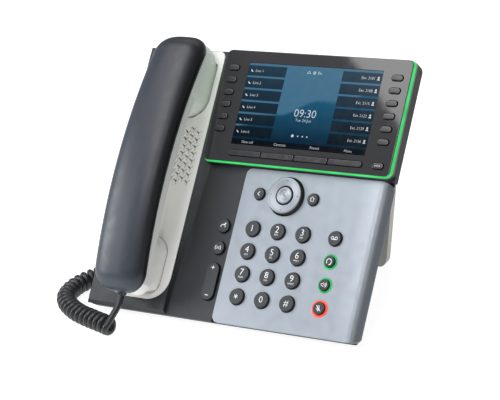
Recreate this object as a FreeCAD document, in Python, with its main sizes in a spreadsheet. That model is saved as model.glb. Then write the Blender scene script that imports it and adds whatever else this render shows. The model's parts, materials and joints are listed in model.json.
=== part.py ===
"""A desk telephone with a colour screen, a corded handset and an easel stand.

The keypad face leans back from the desk. Every piece of the body is drawn in the face frame,
whose X runs to the right, Y up the face and Z out of it, and is then tilted into place.
The row frame has +Z up, the user on the -Y side and its origin on the desk under the middle.
"""
import FreeCAD, Part
import math
import os
import Sketcher

doc = FreeCAD.newDocument("desk_phone")
sheet = doc.addObject("Spreadsheet::Sheet", "Sizes")

# Driving dimensions, in millimetres and degrees. Heights are measured out of the face.
SIZES = {
    # the lean of the face, and the place of its lower edge
    "face_tilt": 48.0,
    "base_height": 8.0,
    "depth_shift": -77.47,
    # housing
    "half_width": 114.9,
    "face_length": 201.3,
    "body_corner": 6.0,
    "wall": 2.5,
    "deck_level": -0.5,
    "deck_underside": -4.5,
    "side_bottom": -5.5,
    "thread_top": -1.9,
    "gap": 0.3,
    # raised left part of the deck and the cradle panel in it
    "plateau_level": 2.5,
    "plateau_edge": -45.0,
    "valley_low": -43.9,
    "valley_high": -31.0,
    "cradle_centre": -71.9,
    "cradle_half": 26.9,
    "cradle_low": 9.0,
    "cradle_high": 200.0,
    "cradle_corner": 18.0,
    "cradle_top_corner": 5.0,
    "cradle_level": 2.8,
    "cradle_back": 0.2,
    "ear_floor": -2.3,
    "mouth_floor": -0.8,
    "well_wall": 1.8,
    # keypad trim panel
    "panel_left": -4.4,
    "panel_low": 0.2,
    "panel_high": 114.6,
    "panel_thickness": 2.0,
    "panel_roll": 9.0,
    "panel_corner": 6.0,
    # display head
    "head_left": -40.6,
    "head_low": 115.1,
    "head_high": 201.3,
    "head_corner": 5.0,
    "plinth_top": 2.7,
    "bezel_back": 5.9,
    "bezel_rim_back": 7.2,
    "bezel_inset": 0.8,
    "light_lower": 4.8,
    "light_depth": 3.3,
    "head_front": 8.1,
    "screen_left": -18.45,
    "screen_right": 92.2,
    "screen_low": 129.1,
    "screen_high": 191.4,
    "glass_level": 7.6,
    "module_back": 1.7,
    "module_rim": 2.6,
    # dial keys
    "key_left": 12.4,
    "key_high": 70.3,
    "pitch_across": 20.7,
    "pitch_down": 16.64,
    "side_column": 79.8,
    "key_radius": 5.8,
    "function_radius": 5.2,
    "lit_radius": 4.1,
    "mute_radius": 4.6,
    "lit_hole": 5.5,
    "mute_hole": 6.2,
    "small_radius": 4.35,
    "left_radius": 5.0,
    "key_proud": 1.9,
    "key_round": 0.7,
    "key_gap": 0.35,
    "flange_over": 1.3,
    "flange_top": -4.9,
    "flange_bottom": -6.1,
    "stem_radius": 2.0,
    "stem_end": -8.6,
    # navigation ring
    "nav_across": 33.2,
    "nav_up": 96.3,
    "nav_radius": 13.4,
    "nav_hole": 14.4,
    "nav_bore": 7.0,
    "nav_level": 3.8,
    "select_radius": 6.0,
    "select_level": 3.9,
    # keys beside the dial
    "left_column": -12.3,
    "call_up": 69.8,
    "hold_up": 53.5,
    "volume_up": 28.6,
    "volume_length": 27.5,
    "volume_width": 10.5,
    "left_proud": 1.5,
    # keys on the display head
    "line_left": -30.9,
    "line_right": 104.1,
    "line_high": 186.7,
    "line_pitch": 9.365,
    "pill_length": 9.0,
    "pill_width": 4.2,
    "pill_gap": 0.4,
    "soft_first": -4.6,
    "soft_pitch": 27.6,
    "soft_length": 26.9,
    "soft_corner": 0.6,
    "soft_end_corner": 1.7,
    "soft_up": 122.6,
    "pill_proud": 0.9,
    "pill_stem_end": 2.6,
    # handset
    "grip_half": 21.6,
    "grip_low": 7.77,
    "grip_high": 204.3,
    "arch_radius": 400.0,
    "arch_up": 94.0,
    "parting": 31.8,
    "crown": 42.8,
    "grip_corner": 17.0,
    "grip_round": 9.5,
    "grip_wall": 2.4,
    "grip_under": 22.0,
    "inner_half": 19.6,
    # rear housing and boards
    "rear_level": -34.0,
    "rear_half": 96.0,
    "rear_low": 24.1,
    "rear_high": 187.0,
    "rear_top_half": 113.2,
    "rear_top_low": 2.0,
    "rear_top_high": 199.8,
    "board_top": -10.5,
    "board_thickness": 1.6,
    "screw_left": -42.0,
    "screw_right": 91.5,
    "screw_low": 30.0,
    "screw_middle": 108.0,
    "screw_high": 178.0,
    "boss_radius": 4.0,
    # stand
    "stand_half": 72.2,
    "stand_rib": 3.5,
    # cord
    "wire_radius": 2.1,
    "coil_radius": 7.4,
}

for row, (name, value) in enumerate(SIZES.items(), start=1):
    sheet.set(f"A{row}", name)
    sheet.set(f"B{row}", str(value))
    sheet.setAlias(f"B{row}", name)
doc.recompute()

TOUCH = 0.01
FAR = 400.0


class Size:
    """A number together with the sheet expression that gives it."""

    def __init__(self, value, text):
        self.value = value
        self.text = text

    def joined(self, other, sign, value):
        return Size(value, f"({self.text} {sign} {other.text})")

    def __add__(self, other):
        other = as_size(other)
        return self.joined(other, "+", self.value + other.value)

    def __sub__(self, other):
        other = as_size(other)
        return self.joined(other, "-", self.value - other.value)

    def __mul__(self, other):
        other = as_size(other)
        return self.joined(other, "*", self.value * other.value)

    def __truediv__(self, other):
        other = as_size(other)
        return self.joined(other, "/", self.value / other.value)

    def __neg__(self):
        return Size(-self.value, f"(0 - {self.text})")


def as_size(number):
    return number if isinstance(number, Size) else Size(float(number), f"{float(number):.4f}")


def cell(name):
    return Size(SIZES[name], f"Sizes.{name}")


TILT = math.radians(SIZES["face_tilt"])


# ---------------------------------------------------------------- bodies and sketches


def new_body(label):
    body = doc.addObject("PartDesign::Body", label)
    body.Label = label
    return body


def place_on_face(piece, across=0, up=0, out=0):
    """Tilt a piece into the row frame with its origin at a point of the face."""
    across = as_size(across)
    up = as_size(up)
    out = as_size(out)
    piece.Placement = FreeCAD.Placement(
        FreeCAD.Vector(0, 0, 0), FreeCAD.Rotation(FreeCAD.Vector(1, 0, 0), SIZES["face_tilt"]))
    piece.setExpression("Placement.Rotation.Angle", "Sizes.face_tilt")
    piece.setExpression("Placement.Base.x", across.text)
    piece.setExpression(
        "Placement.Base.y",
        f"{up.text} * cos(Sizes.face_tilt) - {out.text} * sin(Sizes.face_tilt) + Sizes.depth_shift")
    piece.setExpression(
        "Placement.Base.z",
        f"{up.text} * sin(Sizes.face_tilt) + {out.text} * cos(Sizes.face_tilt) + Sizes.base_height")


def row_point(across, up, out):
    """The row-frame point of a face-frame point, all as plain numbers."""
    return FreeCAD.Vector(
        across,
        up * math.cos(TILT) - out * math.sin(TILT) + SIZES["depth_shift"],
        up * math.sin(TILT) + out * math.cos(TILT) + SIZES["base_height"])


def new_sketch(body, name, plane="XY_Plane", level=0):
    """A sketch on one of the body's own origin planes, moved along its normal to a level."""
    sketch = body.newObject("Sketcher::SketchObject", name)
    support = [item for item in body.Origin.OriginFeatures if item.Role == plane][0]
    sketch.AttachmentSupport = [(support, "")]
    sketch.MapMode = "FlatFace"
    sketch.setExpression("AttachmentOffset.Base.z", as_size(level).text)
    DRAWINGS[sketch.Name] = Drawing()
    return sketch


class Drawing:
    """The geometry and the rules of one sketch, handed to it in one go."""

    def __init__(self):
        self.shapes = []
        self.helpers = []
        self.rules = []
        self.measures = []

    def add(self, geometry, helper=False):
        self.shapes.append(geometry)
        self.helpers.append(helper)
        return len(self.shapes) - 1

    def rule(self, kind, *places):
        self.rules.append(Sketcher.Constraint(kind, *places))

    def measure(self, kind, places, length):
        length = as_size(length)
        if "Sizes." in length.text:
            self.measures.append((len(self.rules), length.text))
        self.rules.append(Sketcher.Constraint(kind, *places, length.value))

    def finish(self, sketch):
        for geometry, helper in zip(self.shapes, self.helpers):
            sketch.addGeometry(geometry, helper)
        sketch.addConstraint(self.rules)
        for index, text in self.measures:
            sketch.setExpression(f"Constraints[{index}]", text)


DRAWINGS = {}


def finish_sketch(sketch):
    drawing = DRAWINGS.pop(sketch.Name, None)
    if drawing:
        drawing.finish(sketch)


def hold_point(drawing, geometry, point, across, up):
    drawing.measure("DistanceX", (-1, 1, geometry, point), across)
    drawing.measure("DistanceY", (-1, 1, geometry, point), up)


def flat_vector(across, up):
    return FreeCAD.Vector(as_size(across).value, as_size(up).value, 0)


def draw_polygon(sketch, corners):
    """A closed straight-sided outline, each corner held from the sketch's origin."""
    drawing = DRAWINGS[sketch.Name]
    first = len(drawing.shapes)
    count = len(corners)
    for index in range(count):
        start = flat_vector(*corners[index])
        end = flat_vector(*corners[(index + 1) % count])
        drawing.add(Part.LineSegment(start, end))
    for index in range(count):
        following = first + (index + 1) % count
        drawing.rule("Coincident", first + index, 2, following, 1)
    for index in range(count):
        hold_point(drawing, first + index, 1, *corners[index])


def draw_rectangle(sketch, left, right, low, high):
    draw_polygon(sketch, [(left, low), (right, low), (right, high), (left, high)])


def draw_circle(sketch, across, up, radius):
    drawing = DRAWINGS[sketch.Name]
    radius = as_size(radius)
    circle = Part.Circle(flat_vector(across, up), FreeCAD.Vector(0, 0, 1), radius.value)
    index = drawing.add(circle)
    hold_point(drawing, index, 3, across, up)
    drawing.measure("Radius", (index,), radius)


def draw_arc(drawing, centre, radius, start_angle, end_angle):
    circle = Part.Circle(flat_vector(*centre), FreeCAD.Vector(0, 0, 1), radius.value)
    arc = Part.ArcOfCircle(circle, math.radians(start_angle), math.radians(end_angle))
    index = drawing.add(arc)
    hold_point(drawing, index, 3, *centre)
    drawing.measure("Radius", (index,), radius)
    return index


def point_on(centre, radius, angle):
    turn = math.radians(angle)
    return FreeCAD.Vector(as_size(centre[0]).value + radius.value * math.cos(turn),
                          as_size(centre[1]).value + radius.value * math.sin(turn), 0)


def draw_rounded(sketch, left, right, low, high, radii):
    """A rectangle with a round corner each; radii run from the lower right anticlockwise."""
    left, right, low, high = (as_size(side) for side in (left, right, low, high))
    radii = [as_size(radius) for radius in radii]
    centres = [
        (right - radii[0], low + radii[0]),
        (right - radii[1], high - radii[1]),
        (left + radii[2], high - radii[2]),
        (left + radii[3], low + radii[3]),
    ]
    draw_round_chain(sketch, centres, radii, 90)


def draw_pill(sketch, across, up, length, width):
    """A slot shape lying along X."""
    length = as_size(length)
    radius = as_size(width) / 2
    reach = length / 2 - radius
    centres = [(as_size(across) + reach, as_size(up)), (as_size(across) - reach, as_size(up))]
    draw_round_chain(sketch, centres, [radius, radius], 180)


def draw_key_shape(sketch, across, up, length, corners):
    """A long key's outline: a slot shape, or a rectangle where its end radii are given."""
    if corners is None:
        draw_pill(sketch, across, up, length, cell("pill_width"))
        return
    half_length = as_size(length) / 2
    half_width = cell("pill_width") / 2
    right, left = [as_size(corner) for corner in corners]
    draw_rounded(sketch, as_size(across) - half_length, as_size(across) + half_length,
                 as_size(up) - half_width, as_size(up) + half_width, [right, right, left, left])


def draw_round_chain(sketch, centres, radii, sweep):
    """Arcs about the centres, anticlockwise, joined by tangent lines."""
    drawing = DRAWINGS[sketch.Name]
    count = len(centres)
    arcs = []
    for index in range(count):
        start_angle = -90 + sweep * index
        arcs.append(draw_arc(drawing, centres[index], radii[index], start_angle, start_angle + sweep))
    for index in range(count):
        following = (index + 1) % count
        angle = -90 + sweep * (index + 1)
        start = point_on(centres[index], radii[index], angle)
        end = point_on(centres[following], radii[following], angle)
        line = drawing.add(Part.LineSegment(start, end))
        drawing.rule("Tangent", arcs[index], 2, line, 1)
        drawing.rule("Tangent", line, 2, arcs[following], 1)


# ---------------------------------------------------------------- features


def add_pad(body, name, sketch, length, down=False, both_ways=False, taper=0):
    finish_sketch(sketch)
    feature = body.newObject("PartDesign::Pad", name)
    feature.Profile = sketch
    feature.Reversed = down
    feature.TaperAngle = taper
    if both_ways:
        feature.SideType = "Symmetric"
    feature.setExpression("Length", as_size(length).text)
    return feature


def add_pocket(body, name, sketch, length=None, up=False, both_ways=False, taper=0):
    """Cut a profile downwards from its sketch, or upwards, or through everything."""
    finish_sketch(sketch)
    feature = body.newObject("PartDesign::Pocket", name)
    feature.Profile = sketch
    feature.Reversed = up
    feature.TaperAngle = taper
    if both_ways:
        feature.SideType = "Symmetric"
    if length is None:
        feature.Type = "ThroughAll"
    else:
        feature.setExpression("Length", as_size(length).text)
    return feature


def add_fillet(body, name, base, edges, radius):
    feature = body.newObject("PartDesign::Fillet", name)
    feature.Base = (base, edges)
    feature.setExpression("Radius", as_size(radius).text)
    return feature


def edges_where(feature, test):
    """The names of the feature's edges whose bounding box passes the test."""
    doc.recompute()
    return [f"Edge{number}" for number, edge in enumerate(feature.Shape.Edges, start=1)
            if test(edge.BoundBox)]


def edges_at(feature, level):
    """The names of the edges that lie flat at one height."""
    height = as_size(level).value
    return edges_where(
        feature, lambda box: abs(box.ZMin - height) < TOUCH and abs(box.ZMax - height) < TOUCH)


def add_loft(body, name, lower, upper, cut=False):
    finish_sketch(lower)
    finish_sketch(upper)
    kind = "PartDesign::SubtractiveLoft" if cut else "PartDesign::AdditiveLoft"
    feature = body.newObject(kind, name)
    feature.Profile = lower
    feature.Sections = [upper]
    feature.Ruled = True
    return feature


# ---------------------------------------------------------------- where the keys are

KEY_ROWS = [["key_1", "key_2", "key_3"], ["key_4", "key_5", "key_6"],
            ["key_7", "key_8", "key_9"], ["key_star", "key_0", "key_hash"]]
SIDE_KEYS = ["voicemail_key", "headset_key", "speaker_key", "mute_key"]


def row_up(index):
    return cell("key_high") - cell("pitch_down") * index


def round_keys():
    """Each round key: label, across, up, cap radius, hole radius and level of its top."""
    keys = []
    top = cell("key_proud")
    dial = cell("key_radius")
    for row_index, labels in enumerate(KEY_ROWS):
        for column, label in enumerate(labels):
            across = cell("key_left") + cell("pitch_across") * column
            keys.append((label, across, row_up(row_index), dial, dial + cell("key_gap"), top))
    radii = [cell("function_radius"), cell("lit_radius"), cell("lit_radius"), cell("mute_radius")]
    holes = [radii[0] + cell("key_gap"), cell("lit_hole"), cell("lit_hole"), cell("mute_hole")]
    for index, label in enumerate(SIDE_KEYS):
        keys.append((label, cell("side_column"), row_up(index), radii[index], holes[index], top))
    small = cell("small_radius")
    for label, side in (("back_key", -1), ("home_key", 1)):
        across = cell("nav_across") + as_size(22.2 * side)
        keys.append((label, across, cell("nav_up") - 0.2, small, small + cell("key_gap"), top))
    return keys


def left_keys():
    radius = cell("left_radius")
    hole = radius + cell("key_gap")
    return [("call_key", cell("left_column"), cell("call_up"), radius, hole, cell("left_proud")),
            ("hold_key", cell("left_column"), cell("hold_up"), radius, hole, cell("left_proud"))]


def pill_keys():
    """Each slot-shaped key of the display head: label, across, up, length, and no end radii."""
    keys = []
    for side, across in (("left", cell("line_left")), ("right", cell("line_right"))):
        for index in range(6):
            up = cell("line_high") - cell("line_pitch") * index
            keys.append((f"line_key_{side}_{index + 1}", across, up, cell("pill_length"), None))
    keys.append(("more_key", cell("line_right"), cell("soft_up"), cell("pill_length"), None))
    return keys


def soft_keys():
    """The row of keys under the screen, whose outer ends are rounder; its last values are the
    right and left end radii."""
    keys = []
    small = cell("soft_corner")
    large = cell("soft_end_corner")
    ends = [(small, large), (small, small), (small, small), (large, small)]
    for index, corners in enumerate(ends):
        across = cell("soft_first") + cell("soft_pitch") * index
        keys.append((f"soft_key_{index + 1}", across, cell("soft_up"), cell("soft_length"), corners))
    return keys


SCREW_RADIUS = 1.45


def screw_places():
    return [(cell(across), cell(up)) for across in ("screw_left", "screw_right")
            for up in ("screw_low", "screw_middle", "screw_high")]


# ---------------------------------------------------------------- housing shells


def draw_key_holes(sketch, keys):
    for label, across, up, radius, hole, top in keys:
        draw_circle(sketch, across, up, hole)


def draw_well(sketch, low, high, half, low_corner, high_corner, grow=0):
    """The outline of a hollow of the cradle, about the cradle's centre line."""
    grow = as_size(grow)
    lower = as_size(low_corner) + grow
    upper = as_size(high_corner) + grow
    draw_rounded(sketch, cell("cradle_centre") - half - grow, cell("cradle_centre") + half + grow,
                 as_size(low) - grow, as_size(high) + grow, [lower, upper, upper, lower])


# Each well: its low and high ends, its half width and its lower and upper corner radii.
EAR_WELL = (146.5, 191.0, as_size(22.6), 17.0, 4.0)
MOUTH_WELL = (12.4, 56.0, as_size(19.2), 10.0, 14.0)


def front_housing():
    """The dark deck shell: side band, raised left part, display plinth and screw bosses."""
    body = new_body("front_housing")
    half = cell("half_width")
    wall = cell("wall")
    outline = new_sketch(body, "deck_outline", level=cell("side_bottom"))
    draw_rounded(outline, -half, half, 0, cell("face_length"), [cell("body_corner")] * 4)
    add_pad(body, "deck", outline, cell("deck_level") - cell("side_bottom"))
    inside = new_sketch(body, "inside", level=cell("side_bottom"))
    draw_rounded(inside, -half + wall, half - wall, wall, cell("face_length") - wall,
                 [cell("body_corner") - wall] * 4)
    add_pocket(body, "hollow", inside, cell("deck_underside") - cell("side_bottom"), up=True)

    foot = new_sketch(body, "plateau_foot", level=cell("deck_level"))
    edge = as_size(0.4)
    high = cell("face_length")
    draw_polygon(foot, [(-half + edge, edge), (cell("valley_low"), edge),
                        (cell("valley_high"), high - edge), (-half + edge, high - edge)])
    top = new_sketch(body, "plateau_top", level=cell("plateau_level"))
    rise = as_size(2.4)
    draw_polygon(top, [(-half + rise, rise), (cell("plateau_edge"), rise),
                       (cell("plateau_edge"), high - rise), (-half + rise, high - rise)])
    add_loft(body, "plateau", foot, top)

    plinth = new_sketch(body, "plinth_outline", level=cell("deck_level"))
    corner = cell("head_corner")
    draw_rounded(plinth, cell("head_left"), half, cell("head_low"), cell("head_high"), [corner] * 4)
    add_pad(body, "plinth", plinth, cell("plinth_top") - cell("deck_level"))
    tray = new_sketch(body, "plinth_tray", level=cell("plinth_top"))
    draw_rounded(tray, cell("head_left") + wall, half - wall, cell("head_low") + wall,
                 cell("head_high") - wall, [corner - wall] * 4)
    add_pocket(body, "tray", tray, cell("plinth_top") - cell("deck_level"))

    seat = new_sketch(body, "cradle_seat_outline", level=cell("plateau_level"))
    draw_cradle_outline(seat, 0.1)
    add_pocket(body, "cradle_seat", seat, cell("plateau_level") - cell("cradle_back") + 0.05)
    opening = new_sketch(body, "cradle_opening_outline", level=cell("plateau_level"))
    draw_cradle_outline(opening, -1.4)
    add_pocket(body, "cradle_opening", opening)

    cut_panel_seat(body)
    add_bosses(body)
    holes = new_sketch(body, "key_hole_circles", level=cell("plateau_level"))
    draw_key_holes(holes, round_keys() + left_keys())
    draw_circle(holes, cell("nav_across"), cell("nav_up"), cell("nav_hole"))
    draw_rounded(holes, cell("left_column") - cell("volume_width") / 2 - cell("key_gap"),
                 cell("left_column") + cell("volume_width") / 2 + cell("key_gap"),
                 cell("volume_up") - cell("volume_length") / 2 - cell("key_gap"),
                 cell("volume_up") + cell("volume_length") / 2 + cell("key_gap"),
                 [cell("volume_width") / 2] * 4)
    body.Tip = add_pocket(body, "key_holes", holes)
    place_on_face(body)


def draw_cradle_outline(sketch, grow):
    grow = as_size(grow)
    centre = cell("cradle_centre")
    half = cell("cradle_half") + grow
    large = cell("cradle_corner") + grow
    small = cell("cradle_top_corner") + grow
    draw_rounded(sketch, centre - half, centre + half, cell("cradle_low") - grow,
                 cell("cradle_high") + grow, [large, small, small, large])


def panel_section(sketch, skin):
    """The trim panel's cross-section: flat, rolled over the right edge, down to its lip."""
    drawing = DRAWINGS[sketch.Name]
    right = cell("half_width")
    roll = cell("panel_roll")
    left = cell("panel_left")
    centre = (right - roll, -roll)
    outer_arc = draw_arc(drawing, centre, roll, 0, 90)
    inner_arc = draw_arc(drawing, centre, roll - skin, 0, 90)
    corners = [(centre[0], 0), (left, 0), (left, -skin), (centre[0], -skin)]
    lines = [drawing.add(Part.LineSegment(flat_vector(*start), flat_vector(*end)))
             for start, end in zip(corners, corners[1:])]
    lip = drawing.add(Part.LineSegment(flat_vector(right - skin, -roll), flat_vector(right, -roll)))
    drawing.rule("Coincident", outer_arc, 2, lines[0], 1)
    drawing.rule("Coincident", lines[0], 2, lines[1], 1)
    drawing.rule("Coincident", lines[1], 2, lines[2], 1)
    drawing.rule("Coincident", lines[2], 2, inner_arc, 2)
    drawing.rule("Coincident", inner_arc, 1, lip, 1)
    drawing.rule("Coincident", lip, 2, outer_arc, 1)
    for line in (lines[0], lines[2], lip):
        drawing.rule("Horizontal", line)
    drawing.rule("Vertical", lines[1])
    drawing.measure("DistanceX", (-1, 1, lines[0], 1), centre[0])
    drawing.measure("DistanceX", (-1, 1, lines[1], 1), left)
    drawing.measure("DistanceX", (-1, 1, lines[2], 2), centre[0])
    drawing.measure("DistanceY", (-1, 1, lip, 1), -roll)


def cut_panel_seat(body):
    """Recess the deck and its right side where the trim panel lies."""
    deep = cell("panel_thickness") + 0.05
    seat = new_sketch(body, "panel_seat_outline", level=1)
    draw_rounded(seat, cell("panel_left") - 0.05, cell("half_width") + 5, -5,
                 cell("panel_high") + 0.05, [1, cell("panel_corner") + 2, cell("panel_corner") - 1, 1])
    add_pocket(body, "panel_seat", seat, deep + 1)
    roll = cell("panel_roll")
    skin = deep
    side = new_sketch(body, "panel_roll_seat", "XZ_Plane", level=cell("panel_high") * -1 - 0.05)
    right = cell("half_width")
    draw_polygon(side, [(right - roll, -skin + 0.01), (right + 5, -skin + 0.01),
                        (right + 5, -roll - 0.05), (right - skin, -roll - 0.05),
                        (right - skin, as_size(0) - roll), (right - skin - 1.0, as_size(0) - roll + 3.6),
                        (right - skin - 3.4, as_size(0) - skin - 1.0)])
    add_pocket(body, "panel_side_seat", side, cell("panel_high") + 5, up=True)


def add_bosses(body):
    """Screw pillars that hang from the deck to meet the rear housing's."""
    pillars = new_sketch(body, "boss_circles", level=cell("deck_underside") + 0.5)
    for across, up in screw_places():
        draw_circle(pillars, across, up, cell("boss_radius"))
    add_pad(body, "bosses", pillars, cell("deck_underside") - cell("side_bottom") + 0.5, down=True)
    bores = new_sketch(body, "boss_bores", level=cell("side_bottom"))
    for across, up in screw_places():
        draw_circle(bores, across, up, SCREW_RADIUS + 0.1)
    add_pocket(body, "boss_threads", bores, cell("thread_top") - cell("side_bottom"), up=True)


def keypad_panel():
    """The metal-look trim over the dial, rolled over the right edge of the body."""
    body = new_body("keypad_panel")
    section = new_sketch(body, "section", "XZ_Plane", level=-cell("panel_low"))
    panel_section(section, cell("panel_thickness"))
    add_pad(body, "sheet_form", section, cell("panel_high") - cell("panel_low"), down=True)
    frame = new_sketch(body, "corner_frame", level=5)
    draw_rectangle(frame, -FAR, FAR, -FAR, FAR)
    corner = cell("panel_corner")
    draw_rounded(frame, cell("panel_left"), cell("half_width"), cell("panel_low"), cell("panel_high"),
                 [corner + 1, corner + 2, corner - 1, corner - 1])
    add_pocket(body, "corners", frame)
    skirt = new_sketch(body, "skirt", level=cell("side_bottom") - cell("panel_roll"))
    draw_rectangle(skirt, -FAR, FAR, -FAR, FAR)
    add_pocket(body, "skirt_trim", skirt, cell("panel_roll"), up=True)
    holes = new_sketch(body, "key_circles", level=1)
    draw_key_holes(holes, round_keys())
    draw_circle(holes, cell("nav_across"), cell("nav_up"), cell("nav_hole"))
    body.Tip = add_pocket(body, "key_cuts", holes)
    place_on_face(body)


def rear_housing():
    """The back shell, drawn in on every side, with screw pillars, windows and hook slots."""
    body = new_body("rear_housing")
    top = new_sketch(body, "rim", level=cell("side_bottom"))
    draw_rear_outline(top, "rear_top_half", "rear_top_low", "rear_top_high", 5.0, 0)
    back = new_sketch(body, "back", level=cell("rear_level"))
    draw_rear_outline(back, "rear_half", "rear_low", "rear_high", 8.0, 0)
    add_loft(body, "shell", top, back)
    wall = cell("wall")
    hollow_top = new_sketch(body, "hollow_rim", level=cell("side_bottom"))
    draw_rear_outline(hollow_top, "rear_top_half", "rear_top_low", "rear_top_high", 5.0, wall)
    hollow_back = new_sketch(body, "hollow_back", level=cell("rear_level") + wall)
    draw_rear_outline(hollow_back, "rear_half", "rear_low", "rear_high", 8.0, wall)
    add_loft(body, "hollow", hollow_top, hollow_back, cut=True)

    pillars = new_sketch(body, "pillars", level=cell("rear_level") + 0.5)
    for across, up in screw_places():
        draw_circle(pillars, across, up, cell("boss_radius"))
    add_pad(body, "screw_pillars", pillars, cell("side_bottom") - cell("rear_level") - 0.5)
    posts = new_sketch(body, "posts", level=cell("rear_level") + 0.5)
    for across, up in board_corners():
        draw_circle(posts, across, up, 2.6)
    under_board = cell("board_top") - cell("board_thickness")
    add_pad(body, "board_posts", posts, under_board - cell("rear_level") - 0.5)

    bores = new_sketch(body, "bores", level=cell("rear_level"))
    for across, up in screw_places():
        draw_circle(bores, across, up, 1.7)
    add_pocket(body, "screw_bores", bores, up=True)
    heads = new_sketch(body, "heads", level=cell("rear_level"))
    for across, up in screw_places():
        draw_circle(heads, across, up, 3.1)
    add_pocket(body, "head_seats", heads, 3.0, up=True)

    windows = new_sketch(body, "windows", level=cell("rear_level"))
    for across, width, height in jack_places():
        draw_rectangle(windows, across - width / 2 - 0.3, across + width / 2 + 0.3,
                       JACK_UP - height / 2 - 0.3, JACK_UP + height / 2 + 0.3)
    for side in (-1, 1):
        draw_keyhole(windows, as_size(HOOK_ACROSS * side))
    add_pocket(body, "back_windows", windows, 3.5, up=True)
    side_window = new_sketch(body, "handset_jack_window", "YZ_Plane", level=-100)
    draw_rectangle(side_window, HANDSET_JACK_UP - 6.3, HANDSET_JACK_UP + 6.3,
                   HANDSET_JACK_OUT - 6.3, HANDSET_JACK_OUT + 6.3)
    body.Tip = add_pocket(body, "handset_jack_cut", side_window, 30, both_ways=True)
    place_on_face(body)


def draw_rear_outline(sketch, half_name, low_name, high_name, corner, inset):
    inset = as_size(inset)
    half = cell(half_name) - inset
    draw_rounded(sketch, -half, half, cell(low_name) + inset, cell(high_name) - inset,
                 [as_size(corner) - inset / 2] * 4)


JACK_UP = as_size(62.0)
HANDSET_JACK_UP = as_size(80.0)
HANDSET_JACK_OUT = as_size(-22.0)
HOOK_ACROSS = 40.0
HOOK_LOW = 146.0
HOOK_TRAVEL = 12.0


def jack_places():
    """Sockets in the back: where across, then width and height of the block."""
    return [(as_size(2.0), as_size(16.2), as_size(14.0)), (as_size(22.0), as_size(16.2), as_size(14.0)),
            (as_size(42.0), as_size(13.0), as_size(14.0))]


def board_corners():
    return [(as_size(across), as_size(up)) for across in (-24, 82) for up in (34, 106)]


def draw_keyhole(sketch, across):
    """A slot that is narrow above, where a hook rests, and wide below, where its head comes out."""
    narrow = as_size(2.1)
    wide = as_size(4.3)
    low = as_size(HOOK_LOW - HOOK_TRAVEL - 0.6)
    middle = as_size(HOOK_LOW - 2.6)
    high = as_size(HOOK_LOW + 8.4)
    draw_polygon(sketch, [(across - wide, low), (across + wide, low), (across + wide, middle),
                          (across + narrow, middle), (across + narrow, high), (across - narrow, high),
                          (across - narrow, middle), (across - wide, middle)])


def cradle_panel():
    """The light panel under the handset: two wells, loudspeaker slots and the hook's slot."""
    body = new_body("cradle_panel")
    outline = new_sketch(body, "outline", level=cell("cradle_back"))
    draw_cradle_outline(outline, 0)
    add_pad(body, "plate", outline, cell("cradle_level") - cell("cradle_back"))
    wells = ((EAR_WELL, "ear", cell("ear_floor")), (MOUTH_WELL, "mouth", cell("mouth_floor")))
    for well, name, floor in wells:
        outside = new_sketch(body, name + "_outside", level=cell("cradle_back") + 0.5)
        draw_well(outside, *well, grow=cell("well_wall") - 0.2)
        depth = cell("cradle_back") + 0.5 - floor + cell("well_wall")
        add_pad(body, name + "_cup", outside, depth, down=True)
    for well, name, floor in wells:
        inside = new_sketch(body, name + "_inside", level=cell("cradle_level"))
        draw_well(inside, *well)
        add_pocket(body, name + "_well", inside, cell("cradle_level") - floor)
    slot = new_sketch(body, "hook_slot", level=cell("cradle_level"))
    draw_rectangle(slot, cell("cradle_centre") - 4.4, cell("cradle_centre") + 4.4,
                   HOOK_SWITCH_UP - 3.4, HOOK_SWITCH_UP + 3.4)
    add_pocket(body, "hook_cut", slot)
    grille = new_sketch(body, "grille", level=cell("cradle_level"))
    for across, up in grille_places():
        draw_slanted_slot(grille, across, up)
    body.Tip = add_pocket(body, "grille_slots", grille)
    place_on_face(body)


HOOK_SWITCH_UP = as_size(168.0)
GRILLE_PITCH = 5.4
GRILLE_COLUMN = 4.8
GRILLE_REACH = 4
GRILLE_LOW = 99.0
GRILLE_HIGH = 137.0
SLOT_LENGTH = 3.6
SLOT_WIDTH = 0.9
SLOT_LEAN = -32.0


def grille_places():
    """Centres of the loudspeaker slots: columns half a pitch out of step with each other."""
    places = []
    rows = int((GRILLE_HIGH - GRILLE_LOW) / GRILLE_PITCH) + 1
    for column in range(-GRILLE_REACH, GRILLE_REACH + 1):
        stagger = GRILLE_PITCH / 2 * (column % 2)
        for row_index in range(rows):
            across = SIZES["cradle_centre"] + column * GRILLE_COLUMN
            places.append((across, GRILLE_LOW + row_index * GRILLE_PITCH + stagger))
    return places


def draw_slanted_slot(sketch, across, up):
    """A short slot that falls to the right."""
    lean = math.radians(SLOT_LEAN)
    along = FreeCAD.Vector(math.cos(lean), math.sin(lean), 0)
    aside = FreeCAD.Vector(-along.y, along.x, 0)
    corners = []
    for way, side in ((-1, -1), (1, -1), (1, 1), (-1, 1)):
        corner = along * (SLOT_LENGTH / 2 * way) + aside * (SLOT_WIDTH / 2 * side)
        corners.append((across + corner.x, up + corner.y))
    draw_polygon(sketch, corners)


# ---------------------------------------------------------------- display head


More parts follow.
